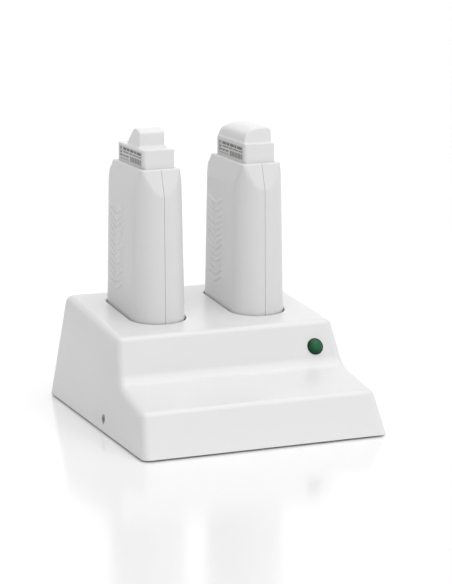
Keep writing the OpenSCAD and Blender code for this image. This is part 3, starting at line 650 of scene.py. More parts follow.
def bullet_loop(w: float, l: float, front: float, back: float) -> Array:
    """Closed outline of a rectangle with round corners, anticlockwise.

    Args:
        w: width.
        l: length, front to back.
        front: radius of the front corners.
        back: radius of the back corners.

    Returns:
        Points, one row each.
    """
    x0, x1, y0, y1 = w / 2 - front, w / 2 - back, front - l / 2, l / 2 - back
    corners = (((-x0, y0), front, 180), ((x0, y0), front, 270), ((x1, y1), back, 0),
               ((-x1, y1), back, 90))
    return np.concatenate([arc(at, r, turn, turn + 90, CORNER_STEPS) for at, r, turn in corners])


# ---------------------------------------------------------------- meshes


def link(name: str, data: bpy.types.ID) -> bpy.types.Object:
    """Make an object and put it in the scene.

    Args:
        name: its name.
        data: its mesh, light or camera.

    Returns:
        The object.
    """
    made = bpy.data.objects.new(name, data)
    bpy.context.scene.collection.objects.link(made)
    return made


class Solid:
    """Vertices in millimetres and faces, gathered into one object."""

    def __init__(self) -> None:
        """Start empty."""
        self.points: list[Array] = []
        self.faces: list[tuple[int, ...]] = []
        self.count = 0

    def put(self, points: Array) -> int:
        """Add points.

        Args:
            points: one row each, in millimetres.

        Returns:
            The number of the first.
        """
        first = self.count
        self.points.append(points.reshape(-1, 3))
        self.count += len(self.points[-1])
        return first

    def grid(self, rows: Array, around: bool = True, over: bool = False,
             ends: bool = False) -> "Solid":
        """Join rows of points with quads.

        Args:
            rows: array of rows, columns and xyz.
            around: the columns close on themselves.
            over: the rows close on themselves.
            ends: one face closes the first row or column, and one the last.

        Returns:
            This solid.
        """
        n, m = rows.shape[:2]
        first = self.put(rows)
        ids = first + np.arange(n * m).reshape(n, m)
        down = np.concatenate([ids, ids[:1]]) if over else ids
        across = np.concatenate([down, down[:, :1]], axis=1) if around else down
        quads = np.stack([across[:-1, :-1], across[:-1, 1:], across[1:, 1:], across[1:, :-1]], -1)
        self.faces += [tuple(int(i) for i in q) for q in quads.reshape(-1, 4)]
        if ends:
            rims = (ids[:, 0], ids[::-1, -1]) if over else (ids[0][::-1], ids[-1])
            self.faces += [tuple(int(i) for i in rim) for rim in rims]
        return self

    def lathe(self, profile: Sequence[Sequence[float]], steps: int = 48) -> "Solid":
        """Turn a closed profile of (radius, height) about +Z.

        Args:
            profile: points in order. Its ends close on the axis or on each other.
            steps: number of segments.

        Returns:
            This solid.
        """
        p = np.array(profile, float)
        turn = np.linspace(0, 2 * math.pi, steps, endpoint=False)
        rows = np.stack([p[:, :1] * np.cos(turn), p[:, :1] * np.sin(turn), p[:, 1:] + 0 * turn], -1)
        return self.grid(rows, over=bool(p[0, 0] > 1e-6))

    def place(self, matrix: Array) -> "Solid":
        """Turn and move everything by a 3 x 4 matrix, in millimetres."""
        self.points = [p @ matrix[:, :3].T + matrix[:, 3] for p in self.points]
        return self

    def copies(self, matrices: Sequence[Array]) -> "Solid":
        """Copy everything once for each matrix.

        Args:
            matrices: one 3 x 4 matrix for each copy.

        Returns:
            A new solid.
        """
        made = Solid()
        points = np.concatenate(self.points)
        for m in matrices:
            first = made.put(points @ m[:, :3].T + m[:, 3])
            made.faces += [tuple(i + first for i in face) for face in self.faces]
        return made

    def object(self, name: str, crease: float = 35.0) -> bpy.types.Object:
        """Make the object.

        Args:
            name: its name.
            crease: edges that turn by more than this many degrees stay sharp.

        Returns:
            The object, in metres.
        """
        mesh = bpy.data.meshes.new(name)
        mesh.from_pydata((np.concatenate(self.points) * MM).tolist(), [], self.faces)
        work = bmesh.new()
        work.from_mesh(mesh)
        bmesh.ops.remove_doubles(work, verts=work.verts, dist=2e-6)
        bmesh.ops.dissolve_degenerate(work, edges=work.edges, dist=1e-7)
        bmesh.ops.recalc_face_normals(work, faces=work.faces)
        work.to_mesh(mesh)
        work.free()
        made = link(name, mesh)
        smooth(made, crease)
        return made


def smooth(obj: bpy.types.Object, crease: float) -> None:
    """Shade an object smoothly, with sharp edges above an angle.

    Args:
        obj: a mesh object of this script.
        crease: the angle in degrees.
    """
    obj.data.shade_smooth()
    obj.data.set_sharp_from_angle(angle=math.radians(crease))
    even = obj.modifiers.new("even", "WEIGHTED_NORMAL")
    even.keep_sharp = True
    even.weight = 80


def carve(obj: bpy.types.Object, cutters: Sequence[bpy.types.Object], crease: float = 35.0,
          operation: str = "DIFFERENCE") -> None:
    """Cut solids out of an object, or join them to it, and remove them.

    Args:
        obj: what is cut.
        cutters: what is cut away or joined.
        crease: angle for the sharp edges afterwards, in degrees.
        operation: DIFFERENCE, UNION or INTERSECT.
    """
    obj.modifiers.clear()
    for cutter in cutters:
        cutter.modifiers.clear()
        step = obj.modifiers.new("carve", "BOOLEAN")
        step.operation, step.solver, step.object = operation, "EXACT", cutter
    bpy.context.view_layer.update()
    graph = bpy.context.evaluated_depsgraph_get()
    result = bpy.data.meshes.new_from_object(obj.evaluated_get(graph))
    obj.modifiers.clear()
    old, obj.data = obj.data, result
    bpy.data.meshes.remove(old)
    for cutter in cutters:
        bpy.data.objects.remove(cutter)
    smooth(obj, crease)


def frame_of(origin: Sequence[float], z_axis: Sequence[float],
             x_hint: Sequence[float] = (1, 0, 0)) -> Array:
    """A 3 x 4 placing matrix.

    Args:
        origin: where the origin goes.
        z_axis: where +Z points.
        x_hint: roughly where +X points.

    Returns:
        Rotation and shift.
    """
    z = np.array(z_axis, float) / np.linalg.norm(z_axis)
    y = np.cross(z, x_hint)
    y /= np.linalg.norm(y)
    return np.stack([np.cross(y, z), y, z, np.array(origin, float)], -1)


def shift(x: float, y: float, z: float = 0.0) -> Array:
    """A 3 x 4 matrix that only moves."""
    return frame_of((x, y, z), (0, 0, 1))


def dress(obj: bpy.types.Object, finish: Finish, body: str, *nodes: str) -> bpy.types.Object:
    """Give a piece its finish, its body and the nodes that it stands for.

    Args:
        obj: the piece.
        finish: its finish.
        body: the CAD body that it rides on.
        nodes: the CAD nodes that it replaces.

    Returns:
        The piece.
    """
    obj.data.materials.clear()
    obj.data.materials.append(finish.material())
    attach(obj, body)
    if nodes:
        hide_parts(*nodes)
    LOG.info("piece %s on %s", obj.name, body)
    return obj


def carry(node: str, finish: Finish) -> None:
    """Give a CAD node that stays its finish.

    Args:
        node: the node's name.
        finish: its finish.
    """
    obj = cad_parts[node]
    if not obj.material_slots:
        obj.data.materials.append(None)
    for slot in obj.material_slots:
        slot.link = "OBJECT"
        slot.material = finish.material()
    LOG.info("node %s kept", node)


# ---------------------------------------------------------------- dock


@dataclass
class Housing:
    """The dock's moulded housing: drafted walls, a tread, a leaning brow and a sloping top."""

    half_w: float = 106.5
    half_d: float = 120.0
    draft: float = math.radians(7.5)
    wall: float = 2.5
    edge: float = 7.0
    fold: float = 17.1
    rim_gap: float = 1.5
    corners: tuple[tuple[float, float], ...] = (
        (-120.0, 0.0), (-102.0, 35.0), (-45.5, 45.0), (-29.5, 80.3), (108.11, 90.3), (120.0, 0.0))
    under: float = -30.0
    deep: float = 9.0
    crease: float = 40.0
    arc_steps: int = 10
    side_steps: int = 10
    well_w: float = 49.4
    well_l: float = 90.8
    well_front_r: float = 22.3
    well_back_r: float = 12.8
    rim_r: float = 1.2
    rim_turn: float = 72.0
    lamp_hole_r: float = 5.5
    screw_at: tuple[float, float] = (-19.5, 11.0)
    screw_r: float = 3.9
    screw_sink: float = 2.0
    inlet_size: tuple[float, float] = (20.2, 13.2)
    inlet_z: float = 26.0

    def side_x(self, z: Array | float) -> Array | float:
        """Half the width of the side walls at a height."""
        return self.half_w - math.tan(self.draft) * z

    def top_z(self, y: Array) -> Array:
        """Height of the sloping top."""
        (y0, z0), (y1, z1) = self.corners[3], self.corners[4]
        return z0 + (z1 - z0) / (y1 - y0) * (y - y0)

    def outline(self) -> tuple[Array, Array]:
        """The side view, moved in by the edge radius. It starts and ends below the floor.

        Returns:
            Centre points (y, z), and the outward normals of the skin over them.
        """
        p = np.array(self.corners)
        way = np.diff(p, axis=0)
        way /= np.linalg.norm(way, axis=1)[:, None]
        out = np.stack([-way[:, 1], way[:, 0]], -1)
        centres, normals = [], []

        def along(i: int, z: float) -> None:
            """Add a point of one straight side.

            Args:
                i: the side's number.
                z: the point's height.
            """
            start = p[i] - out[i] * self.edge
            centres.append((start + way[i] * (z - start[1]) / way[i][1])[None])
            normals.append(out[i][None])

        along(0, self.under)
        along(0, self.under / 2)
        for i in range(1, 5):
            a, b = out[i - 1], out[i]
            share = np.linspace(0, 1, self.arc_steps + 1)[:, None]
            turn = math.acos(np.clip(a @ b, -1, 1))
            fan = (np.sin((1 - share) * turn) * a + np.sin(share * turn) * b) / math.sin(turn)
            bisect = (a + b) / np.linalg.norm(a + b) / math.cos(turn / 2)
            if a[0] * b[1] - a[1] * b[0] < 0:
                centres.append(np.repeat((p[i] - bisect * self.edge)[None], len(fan), 0))
            else:
                centres.append(p[i] + bisect * self.fold - fan * (self.fold + self.edge))
            normals.append(fan)
        along(4, self.under / 2)
        along(4, self.under)
        return np.concatenate(centres), np.concatenate(normals)

    def form(self, inset: float) -> Solid:
        """The closed form, moved in by inset all over.

        Args:
            inset: how far in.

        Returns:
            The solid.
        """
        centres, normals = self.outline()
        side = np.array([math.cos(self.draft), 0, math.sin(self.draft)])
        front = np.stack([0 * normals[:, 0], normals[:, 0], normals[:, 1]], -1)
        mid_x = self.side_x(centres[:, 1]) - self.edge / math.cos(self.draft)
        mid = np.stack([mid_x, centres[:, 0], centres[:, 1]], -1)
        turn = np.arccos(np.clip(front @ side, -1, 1))[:, None, None]
        share = np.linspace(0, 1, self.side_steps + 1)[None, :, None]
        fan = np.sin((1 - share) * turn) * side + np.sin(share * turn) * front[:, None]
        right = mid[:, None] + (self.edge - inset) * (fan / np.sin(turn))
        right[[0, -1], :, 2] = self.under
        rows = np.concatenate([right, (right * [-1, 1, 1])[:, ::-1]], axis=1)
        return Solid().grid(rows, around=False, over=True, ends=True)

    def well_cutter(self, x: float) -> Solid:
        """The space of one well, with a rounded rim that follows the sloping top.

        Args:
            x: the well's middle.

        Returns:
            The solid to cut away.
        """
        steps = [(0.0, -self.deep)]
        steps += [(self.rim_r * (1 - math.cos(t)), self.rim_r * (math.sin(t) - 1))
                  for t in np.radians(np.linspace(0, self.rim_turn, 9))]
        lean = math.radians(self.rim_turn)
        steps.append((steps[-1][0] + 4 * math.sin(lean), steps[-1][1] + 4 * math.cos(lean)))
        rows = []
        for out, up in steps:
            loop = bullet_loop(self.well_w + 2 * out, self.well_l + 2 * out, self.well_front_r + out,
                               self.well_back_r + out) + [x, STATION_Y]
            rows.append(level(loop, self.top_z(loop[:, 1]) + up))
        return Solid().grid(np.array(rows), ends=True)

    def build(self) -> None:
        """Make and dress the housing."""
        body = self.form(0).object("dock_housing")
        low = np.array([oblong(200, 200, z) for z in (-60.0, self.rim_gap)])
        cutters = [self.form(self.wall).object("inside"), Solid().grid(low, ends=True).object("low")]
        cutters += [self.well_cutter(x).object("well") for x in STATIONS.values()]
        lamp = Solid().lathe(rod(self.lamp_hole_r, -6, 6)).place(frame_of(LAMP_AT, LAMP_AXIS))
        cutters.append(lamp.object("lamp_hole"))
        r, sink = self.screw_r, self.screw_sink
        hole = [(0, -self.deep), (SHANK_BORE, -self.deep), (SHANK_BORE, -sink), (r, -sink), (r, 0.0),
                (r + 3, 3.0), (0, 3.0)]
        y, z = self.screw_at
        for s in (-1, 1):
            at = frame_of((s * self.side_x(z), y, z), (s, 0, 0), (0, 1, 0))
            cutters.append(Solid().lathe(hole).place(at).object("screw_hole"))
        loop = bullet_loop(*self.inlet_size, 2, 2)
        slot = Solid().grid(np.array([level(loop, d) for d in (-self.deep, self.deep)]), ends=True)
        back = (0, self.half_d - math.tan(self.draft) * self.inlet_z, self.inlet_z)
        out = (0, math.cos(self.draft), math.sin(self.draft))
        cutters.append(slot.place(frame_of(back, out)).object("inlet_hole"))
        carve(body, cutters, self.crease)
        dress(body, Finish.HOUSING, "dock", "base_housing")


@dataclass
class Lamp:
    """The green pilot lamp on the brow."""

    lens_r: float = 6.35
    bezel_r: float = 7.05
    bezel_h: float = 0.8
    dome_h: float = 3.4
    seat: float = 0.4
    stem_r: float = 3.3
    stem_l: float = 9.0
    body_r: float = 5.4
    body_l: float = 22.0
    bore_r: float = 3.4
    steps: int = 64

    def build(self) -> None:
        """Make and dress the lens and the bezel."""
        at = frame_of(LAMP_AT, LAMP_AXIS)
        ball = (self.lens_r ** 2 + self.dome_h ** 2) / (2 * self.dome_h)
        top = self.bezel_h + self.dome_h
        edge = math.degrees(math.asin(self.lens_r / ball))
        crown = arc((0, top - ball), ball, 90 - edge, 90, 14).tolist()
        lens = [(0, -self.stem_l), (self.stem_r, -self.stem_l), (self.stem_r, self.seat),
                (self.lens_r - 0.15, self.seat), (self.lens_r, 0.5), *crown]
        made = Solid().lathe(lens, self.steps).place(at).object("lamp_lens", 50)
        dress(made, Finish.LENS, "dock", "pilot_lens")
        r, h = self.bezel_r, self.bezel_h
        rim = [(r - 0.65, 0.35), (r - 0.65, h - 0.1), (r - 0.55, h), (r - 0.35, h), (r - 0.15, h - 0.1),
               (r - 0.05, h - 0.35), (r, 0.15), (r, 0.0), (self.body_r, 0.0),
               (self.body_r, -self.body_l), (self.bore_r, -self.body_l), (self.bore_r, 0.35)]
        made = Solid().lathe(rim, self.steps).place(at).object("lamp_bezel")
        dress(made, Finish.BEZEL, "dock", "pilot_bezel")


@dataclass
class Screws:
    """Pan-head screws with a cross recess."""

    shank_r: float = 1.5
    head_r: float = 3.0
    head_h: float = 2.16
    pitch: float = 1.0
    thread: float = 0.28
    crease: float = 40.0

    def form(self, length: float) -> Solid:
        """One screw, head up, whose head bears on z = 0.

        Args:
            length: from under the head to the tip.

        Returns:
            The screw without its recess.
        """
        r, h = self.head_r, self.head_h
        tip = [(0, -length), (self.shank_r - 0.7, -length + 0.2)]
        threads = []
        for i in range(int(length / self.pitch) - 1):
            z = -length + self.pitch * (i + 1)
            threads += [(self.shank_r - self.thread, z), (self.shank_r, z + self.pitch / 2)]
        head = [(self.shank_r, -0.3), (self.shank_r, 0.0), (r - 0.15, 0.0), (r, 0.15), (r, 0.5),
                (r - 0.12, 1.0), (r - 0.5, 1.55), (r - 1.1, 1.9), (r - 1.9, 2.1), (0, h)]
        return Solid().lathe(tip + threads + head, 32)

    def slot(self, along_x: bool) -> Solid:
        """One arm of the cross recess, tapered towards its bottom.

        Args:
            along_x: which of the two arms.

        Returns:
            The solid to cut away.
        """
        rows = [oblong(*((a, b) if along_x else (b, a)), z)
                for z, a, b in ((0.75, 0.55, 0.22), (self.head_h + 1, 1.75, 0.42))]
        return Solid().grid(np.array(rows), ends=True)

    def build(self, name: str, finish: Finish, body: str, length: float,
              places: Sequence[Array]) -> None:
        """Make one node's screws.

        Args:
            name: the CAD node that they replace.
            finish: their finish.
            body: the body that they ride on.
            length: screw length.
            places: one matrix for each.
        """
        made = self.form(length).copies(places).object(name + "_fine", self.crease)
        slots = [self.slot(along_x).copies(places).object("recess") for along_x in (True, False)]
        carve(made, slots, self.crease)
        dress(made, finish, body, name)


@dataclass
class DockFittings:
    """Everything on the dock apart from the housing and the lamp."""

    sink: float = 2.0
    side_screw_l: float = 9.5
    liner_screw_y: float = 33.0
    liner_screw_z: float = 3.1
    liner_screw_l: float = 12.0
    foot_r: float = 8.0
    foot_x: float = 82.5
    foot_y: tuple[float, float] = (-90.0, 96.0)

    def feet(self) -> None:
        """Make and dress the rubber feet."""
        r = self.foot_r
        foot = Solid().lathe([
            (0, 0), (r - 2.2, 0), (r - 1.9, 0.35), (r - 1.5, 0.35), (r - 1.2, 0), (r - 0.8, 0),
            (r - 0.25, 0.2), (r, 0.8), (r, 2.9), (r - 0.1, 3), (0, 3)], 40)
        places = [shift(x * self.foot_x, y) for x in (-1, 1) for y in self.foot_y]
        dress(foot.copies(places).object("feet"), Finish.RUBBER, "dock", "rubber_feet")

    def build(self, housing: Housing) -> None:
        """Make and dress the fittings.

        Args:
            housing: the housing that they sit in.
        """
        self.feet()
        y, z = housing.screw_at
        x = housing.side_x(z) - self.sink
        sides = [frame_of((s * x, y, z), (s, 0, 0), (0, 0.8, 0.6)) for s in (-1, 1)]
        Screws().build("side_screws", Finish.STEEL, "dock", self.side_screw_l, sides)
        below = [frame_of((x, STATION_Y + t * self.liner_screw_y, self.liner_screw_z), (0, 0, -1),
                          (0.9, 0.4, 0)) for x in STATIONS.values() for t in (-1, 1)]
        Screws().build("liner_screws", Finish.STEEL, "dock", self.liner_screw_l, below)
        for node, finish in (
                ("base_plate", Finish.PLATE),
                ("left_well_liner", Finish.LINER_PAINTED_SHADE), ("right_well_liner", Finish.LINER_PAINTED_SHADE),
                ("left_contact_block", Finish.INSULATOR), ("right_contact_block", Finish.INSULATOR),
                ("left_contact_pins", Finish.BRASS), ("right_contact_pins", Finish.BRASS),
                ("pilot_nut", Finish.NUT), ("pilot_bulb", Finish.BULB),
                ("mains_inlet", Finish.INSULATOR), ("mains_pins", Finish.STEEL),
                ("terminal_block", Finish.TANK), ("dock_wiring", Finish.WIRE_BROWN)):
            carry(node, finish)


# ---------------------------------------------------------------- heaters


@dataclass
class Heater:
    """A hand-held heater: two moulded shells with chevron grips round the heat sleeve."""

    side: str
    x: float
    foot: float = 57.9
    belly: float = 84.9
    top: float = 210.4
    width: float = 46.8
    length: float = 88.8
    foot_w: float = 31.0
    foot_l: float = 56.0
    taper: float = 0.03
    nose_r: float = 21.0
    back_r: float = 11.5
    side_crease: float = 191.9
    end_crease: float = 188.9
    top_w: float = 33.5
    top_l: float = 71.0
    thick: float = 2.2
    seam: float = 0.1
    crease_k: float = 0.5
    rim_k: float = 1.5
    mouth: tuple[float, float, float] = (28.2, 63.6, 2.9)
    plug: tuple[float, float, float] = (13.2, 27.2, 2.0)
    groove: float = 0.2
    seam_x: tuple[float, ...] = (0.1, 0.2, 0.32, 0.5, 0.8)
    front_n: int = 18
    side_n: int = 10
    back_n: int = 10
    flat_n: int = 5
    grip_y: float = 13.0
    grip_z: float = 102.1
    grip_pitch: float = 5.5
    grip_count: int = 13
    grip_half: float = 14.5
    grip_rise: float = 0.39
    grip_gap: float = 1.2
    rib_w: float = 3.4
    rib_out: float = 0.9
    posts: tuple[tuple[float, float], ...] = ((-18.0, 96.6), (38.3, 97.9), (38.3, 177.9))
    seat_x: float = 12.0
    cup_x: float = 10.4
    cup_r: float = 3.9
    screw_l: float = 20.0
    bend: tuple[float, ...] = (1.6, 1.2, 0.85, 0.55, 0.3, 0.12)
    crease: float = 48.0

    def half(self, z: Array | float) -> tuple[Array, Array]:
        """Half the width and half the length, before the top leans in.

        Args:
            z: heights.

        Returns:
            Half widths and half lengths.
        """
        s = np.clip((z - self.foot) / (self.belly - self.foot), 0, 1)
        drawn = (1 - s) ** 2
        less = self.taper * np.clip(z - self.belly, 0, None)
        return ((self.width - (self.width - self.foot_w) * drawn - less) / 2,
                (self.length - (self.length - self.foot_l) * drawn - less) / 2)

    def radii(self, half_w: Array | float) -> tuple[Array, Array]:
        """Front and back corner radii for a half width."""
        return np.minimum(self.nose_r, half_w - 0.2), np.minimum(self.back_r, half_w - 0.2)

    def form(self, inset: float, ends: bool = True) -> Field:
        """The outside as a field, moved in by inset.

        Args:
            inset: how far in.
            ends: whether the flat top and foot close it.

        Returns:
            Negative inside.
        """
        wide, long = self.half(self.side_crease)[0], self.half(self.end_crease)[1]
        lean_x = (wide - self.top_w / 2) / (self.top - self.side_crease)
        lean_y = (long - self.top_l / 2) / (self.top - self.end_crease)
        cos_x, cos_y = math.cos(math.atan(lean_x)), math.cos(math.atan(lean_y))

        def field_at(p: Array) -> Array:
            """Distance to the skin.

            Args:
                p: points, with xyz last.

            Returns:
                Negative inside.
            """
            x, y, z = p[..., 0], p[..., 1], p[..., 2]
            half_w, half_l = self.half(z)
            d = bullet_distance(x, y, half_w, half_l, *self.radii(half_w))
            up = self.top - z
            d = smax(d, (np.abs(x) - self.top_w / 2 - up * lean_x) * cos_x, self.crease_k)
            d = smax(d, (np.abs(y) - self.top_l / 2 - up * lean_y) * cos_y, self.crease_k)
            if ends:
                d = smax(smax(d, z - self.top, self.rim_k), self.foot - z, self.rim_k)
            return d + inset

        return field_at

    def columns(self, z: Array) -> tuple[Array, Array]:
        """Ray targets and bases round one half at each height.

        Args:
            z: heights.

        Returns:
            Targets on the plan and bases on the spine, each rows x columns x 3, on the +X half.
        """
        rows, bases = [], []
        for height in z:
            half_w, half_l = (float(v) for v in self.half(height))
            front, back = (float(v) for v in self.radii(half_w))
            x0, y0, y1 = half_w - front, front - half_l, half_l - back
            nose = [(x, y0 - math.sqrt(max(front ** 2 - max(x - x0, 0) ** 2, 0)))
                    for x in self.seam_x]
            start = math.degrees(math.acos(min(1, (1.4 - x0) / front)))
            bow = arc((x0, y0), front, -start, 0, self.front_n)
            flat = np.linspace([half_w, y0], [half_w, y1], self.side_n + 2)[1:-1]
            stern = arc((half_w - back, y1), back, 0, 90, self.back_n)
            tail = np.linspace([half_w - back, half_l], [1.4, half_l], self.flat_n + 1)[1:]
            end = [(x, half_l) for x in reversed(self.seam_x)]
            plan = np.concatenate([nose, bow, flat, stern, tail, end])
            rows.append(level(plan, height))
            spine = np.clip(plan[:, 1], y0, y1)
            bases.append(level(np.stack([0 * spine + self.seam, spine], -1), height))
        return np.array(rows), np.array(bases)

    def ring(self, size: tuple[float, float, float], out: float, z: float) -> Array:
        """Half of a rounded rectangle with as many points as a row of columns().

        Args:
            size: width, length and corner radius.
            out: how far it is moved out.
            z: its height.

        Returns:
            One row of points on the +X half.
        """
        w, l, r = size[0] / 2 + out, size[1] / 2 + out, size[2] + out
        seams = len(self.seam_x)
        bow = np.concatenate([[(self.seam, -l)], arc((w - r, r - l), r, -90, 0, 8)])
        stern = np.concatenate([arc((w - r, l - r), r, 0, 90, 8), [(self.seam, l)]])

        def even(path: Array, n: int) -> Array:
            """Spread points evenly along a path.

            Args:
                path: its points.
                n: how many to make.

            Returns:
                The points.
            """
            run = np.concatenate([[0], np.cumsum(np.linalg.norm(np.diff(path, axis=0), axis=1))])
            at = np.linspace(0, run[-1], n)
            return np.stack([np.interp(at, run, path[:, 0]), np.interp(at, run, path[:, 1])], -1)

        flat = np.linspace([w, r - l], [w, l - r], self.side_n + 2)[1:-1]
        return level(np.concatenate([even(bow, seams + self.front_n + 1), flat,
                                     even(stern, self.back_n + 1 + self.flat_n + seams)]), z)

    def eased(self, skin: Array, base: Array) -> Array:
        """Round off the edges along the parting line.

        Args:
            skin: points on the outside.
            base: where their rays start.

        Returns:
            The points, moved in near the line.
        """
        near = np.clip(1 - (np.abs(skin[..., :1]) - self.seam) / 0.3, 0, 1)
        way = base - skin
        way = way / np.linalg.norm(way, axis=-1, keepdims=True)
        return skin + way * self.groove * near ** 2

    def corner(self, height: float, up: int) -> Array:
        """Rows round the edge between the wall and a flat end.

        Args:
            height: the end's height.
            up: 1 at the foot, -1 at the top.

        Returns:
            Rows of points, upwards on the wall.
        """
        plan, base = self.columns(np.array([height]))
        edge = shoot(self.form(0, False), base, plan)[0]
        way = base[0] - edge
        way /= np.linalg.norm(way, axis=-1, keepdims=True)
        targets = np.array([*(edge + way * b for b in self.bend), edge,
                            *(edge + [0, 0, up * b] for b in self.bend[::-1])])
        bases = np.repeat(base + [0, 0, 8.0 * up], len(targets), 0)
        return self.eased(shoot(self.form(0), bases, targets), bases)[::up]

    def shell(self) -> Array:
        """The whole skin of the +X half.

        Returns:
            Rows from the plug hole over the outside to the mouth and back inside.
        """
        heights = np.concatenate([
            np.linspace(self.foot + 3, self.belly, 12), np.linspace(self.belly + 8, 180, 12),
            np.linspace(182, self.top - 1.9, 28)])
        plan, base = self.columns(heights)
        wall = self.eased(shoot(self.form(0), base, plan), base)
        lip = [self.ring(self.mouth, 0.35 * (1 - math.sin(t)), self.top - 0.35 * (1 - math.cos(t)))
               for t in np.radians([0, 25, 50, 75, 90])]
        neck = [self.ring(self.mouth, out, self.top - down)
                for out, down in ((0, 8.0), (1.2, 8.0), (1.2, 2.4))]
        depths = np.concatenate([[self.top - 2.3], np.linspace(self.top - 6, self.foot + 2.3, 24)])
        plan, base = self.columns(depths)
        inside = shoot(self.form(self.thick), base, plan)
        plug = [self.ring(self.plug, 0, self.foot + self.thick), self.ring(self.plug, 0, self.foot)]
        return np.concatenate([self.corner(self.foot, 1), wall, self.corner(self.top, -1), lip,
                               neck, inside, plug])

    def rib(self, sign: float, index: int, arm: float) -> Array:
        """One arm of one chevron.

        Args:
            sign: the side that it stands on.
            index: its number from below.
            arm: -1 for the arm towards the front, 1 for the other.

        Returns:
            Rows of points.
        """
        start = 0.0 if index == 0 else self.grip_gap
        total = self.grip_half - start
        tip = np.array([0, 0.12, 0.35, 0.7, 1.1])
        along = np.concatenate([tip, np.linspace(2, total - 2, 8), total - tip[::-1]])
        bow = self.rib_w / 2
        end = np.minimum(along if index else along + bow, total - along)
        full = np.sqrt(np.clip(1 - (1 - np.clip(end / bow, 0, 1)) ** 2, 0.02, 1))[:, None]
        v = np.array([-1, -0.97, -0.85, -0.6, -0.3, 0, 0.3, 0.6, 0.85, 0.97, 1])
        up = self.rib_out * (1 - np.abs(v) ** 2.4) ** 0.7
        level_z = self.grip_z + index * self.grip_pitch + self.rib_w / 2
        z = (level_z + self.grip_rise * (along + start))[:, None] + v * self.rib_w / 2 * full
        y = self.grip_y + arm * (along + start)[:, None] + 0 * z
        out = up * full - 0.02
        x = self.half(z)[0]
        top = np.stack([x + out, y, z], -1)
        low = np.stack([x - 0.8, y, z], -1)[:, [-1, 0]]
        return np.concatenate([top, low], 1) * [sign, 1, 1]

    def cup(self, y: float, z: float) -> Array:
        """The tube that a screw head sits in.

        Args:
            y: place of its axis.
            z: height of its axis.

        Returns:
            Rows of points.
        """
        turn = np.linspace(0, 2 * math.pi, 32, endpoint=False)

        def circle(r: float, x: Array | float) -> Array:
            """A circle round the axis."""
            return np.stack([0 * turn + x, y + r * np.cos(turn), z + r * np.sin(turn)], -1)

        target = circle(self.cup_r, 30.0)
        wall_x = np.maximum(shoot(self.form(0.8), target * [0, 1, 1], target)[:, 0], self.cup_x)
        return np.array([circle(r, x) for r, x in (
            (SHANK_BORE, self.cup_x), (SHANK_BORE, self.seat_x), (HEAD_BORE, self.seat_x),
            (HEAD_BORE, wall_x), (self.cup_r, wall_x), (self.cup_r, self.cup_x))])

    def build(self) -> None:
        """Make and dress the heater."""
        rows = self.shell()
        body = self.side + "_heater"
        at = shift(self.x, STATION_Y)
        for sign, half in ((-1, "a"), (1, "b")):
            node = f"{self.side}_heater_shell_{half}"
            skin = Solid().grid(rows * [sign, 1, 1], around=False, over=True, ends=True)
            piece = skin.place(at).object(f"{self.side}_shell_{half}", self.crease)
            if sign > 0:
                cutters, cups = [], Solid()
                for y, z in self.posts:
                    hole = Solid().lathe(rod(HEAD_BORE, 0, 30), 32)
                    out = frame_of((self.x + self.seat_x - 0.5, STATION_Y + y, z), (1, 0, 0), (0, 1, 0))
                    cutters.append(hole.place(out).object("screw_hole"))
                    cups.grid(self.cup(y, z), over=True)
                carve(piece, cutters, self.crease)
                made = cups.place(at).object(self.side + "_screw_cups")
                dress(made, Finish.SHELL, body, node)
            dress(piece, Finish.SHELL, body, node)
            grip = Solid()
            for index in range(self.grip_count):
                for arm in (-1, 1):
                    grip.grid(self.rib(sign, index, arm), ends=True)
            made = grip.place(at).object(f"{self.side}_grip_{half}", 60)
            dress(made, Finish.SHELL, body, node)
        heads = [frame_of((self.x + self.seat_x, STATION_Y + y, z), (1, 0, 0), (0, 0.9, 0.4))
                 for y, z in self.posts]
        Screws().build(f"{self.side}_shell_screws", Finish.STEEL, body, self.screw_l, heads)
        for node, finish in (("heat_sleeve", Finish.ALUMINIUM), ("heat_plates", Finish.CERAMIC),
                             ("thermostat", Finish.THERMOSTAT), ("heater_socket", Finish.INSULATOR),
                             ("heater_wiring", Finish.WIRE_RED)):
            carry(f"{self.side}_{node}", finish)


# ---------------------------------------------------------------- cartridges


def dome(form: Field, plan: Array, half_spine: float, mid_y: float, z0: float) -> Array:
    """Rows of points over a dome-like form, from its foot to its crest.

    Args:
        form: the form as a field.
        plan: closed loop of directions, round the middle of the form.
        half_spine: half the length of the spine that the rays start from.
        mid_y: the spine's middle.
        z0: height of the foot.

    Returns:
        Rows of points.
    """
    far, low = 45, 3.0
    clipped = mid_y + np.clip(plan[:, 1], -half_spine, half_spine)
    spine = np.stack([0 * plan[:, 0], clipped, 0 * plan[:, 0]], -1)
    out = level(plan + [0, mid_y], 0.0) - spine
    out /= np.linalg.norm(out, axis=1, keepdims=True)
    rays = [(up, 0.0) for up in (0, 0.12, 0.28, 0.5, 0.8, 1.15, 1.6, 2.2, low)]
    rays += [(low, rise) for rise in np.radians(np.linspace(4, 90, 30))]
    bases = np.array([spine + [0, 0, z0 + up] for up, _ in rays])
    ways = np.array([out * math.cos(rise) + [0, 0, math.sin(rise)] for _, rise in rays])
    return shoot(form, bases, bases + ways * far, 1.0)


def fine_loop(loop: Array, longest: float) -> Array:
    """Split the long sides of a closed loop.

    Args:
        loop: points, one row each.
        longest: the longest side that stays whole.

    Returns:
        The loop with its new points.
    """
    points = []
    for a, b in zip(loop, np.roll(loop, -1, axis=0)):
        steps = max(1, math.ceil(np.linalg.norm(b - a) / longest))
        points += [a + (b - a) * i / steps for i in range(steps)]
    return np.array(points)


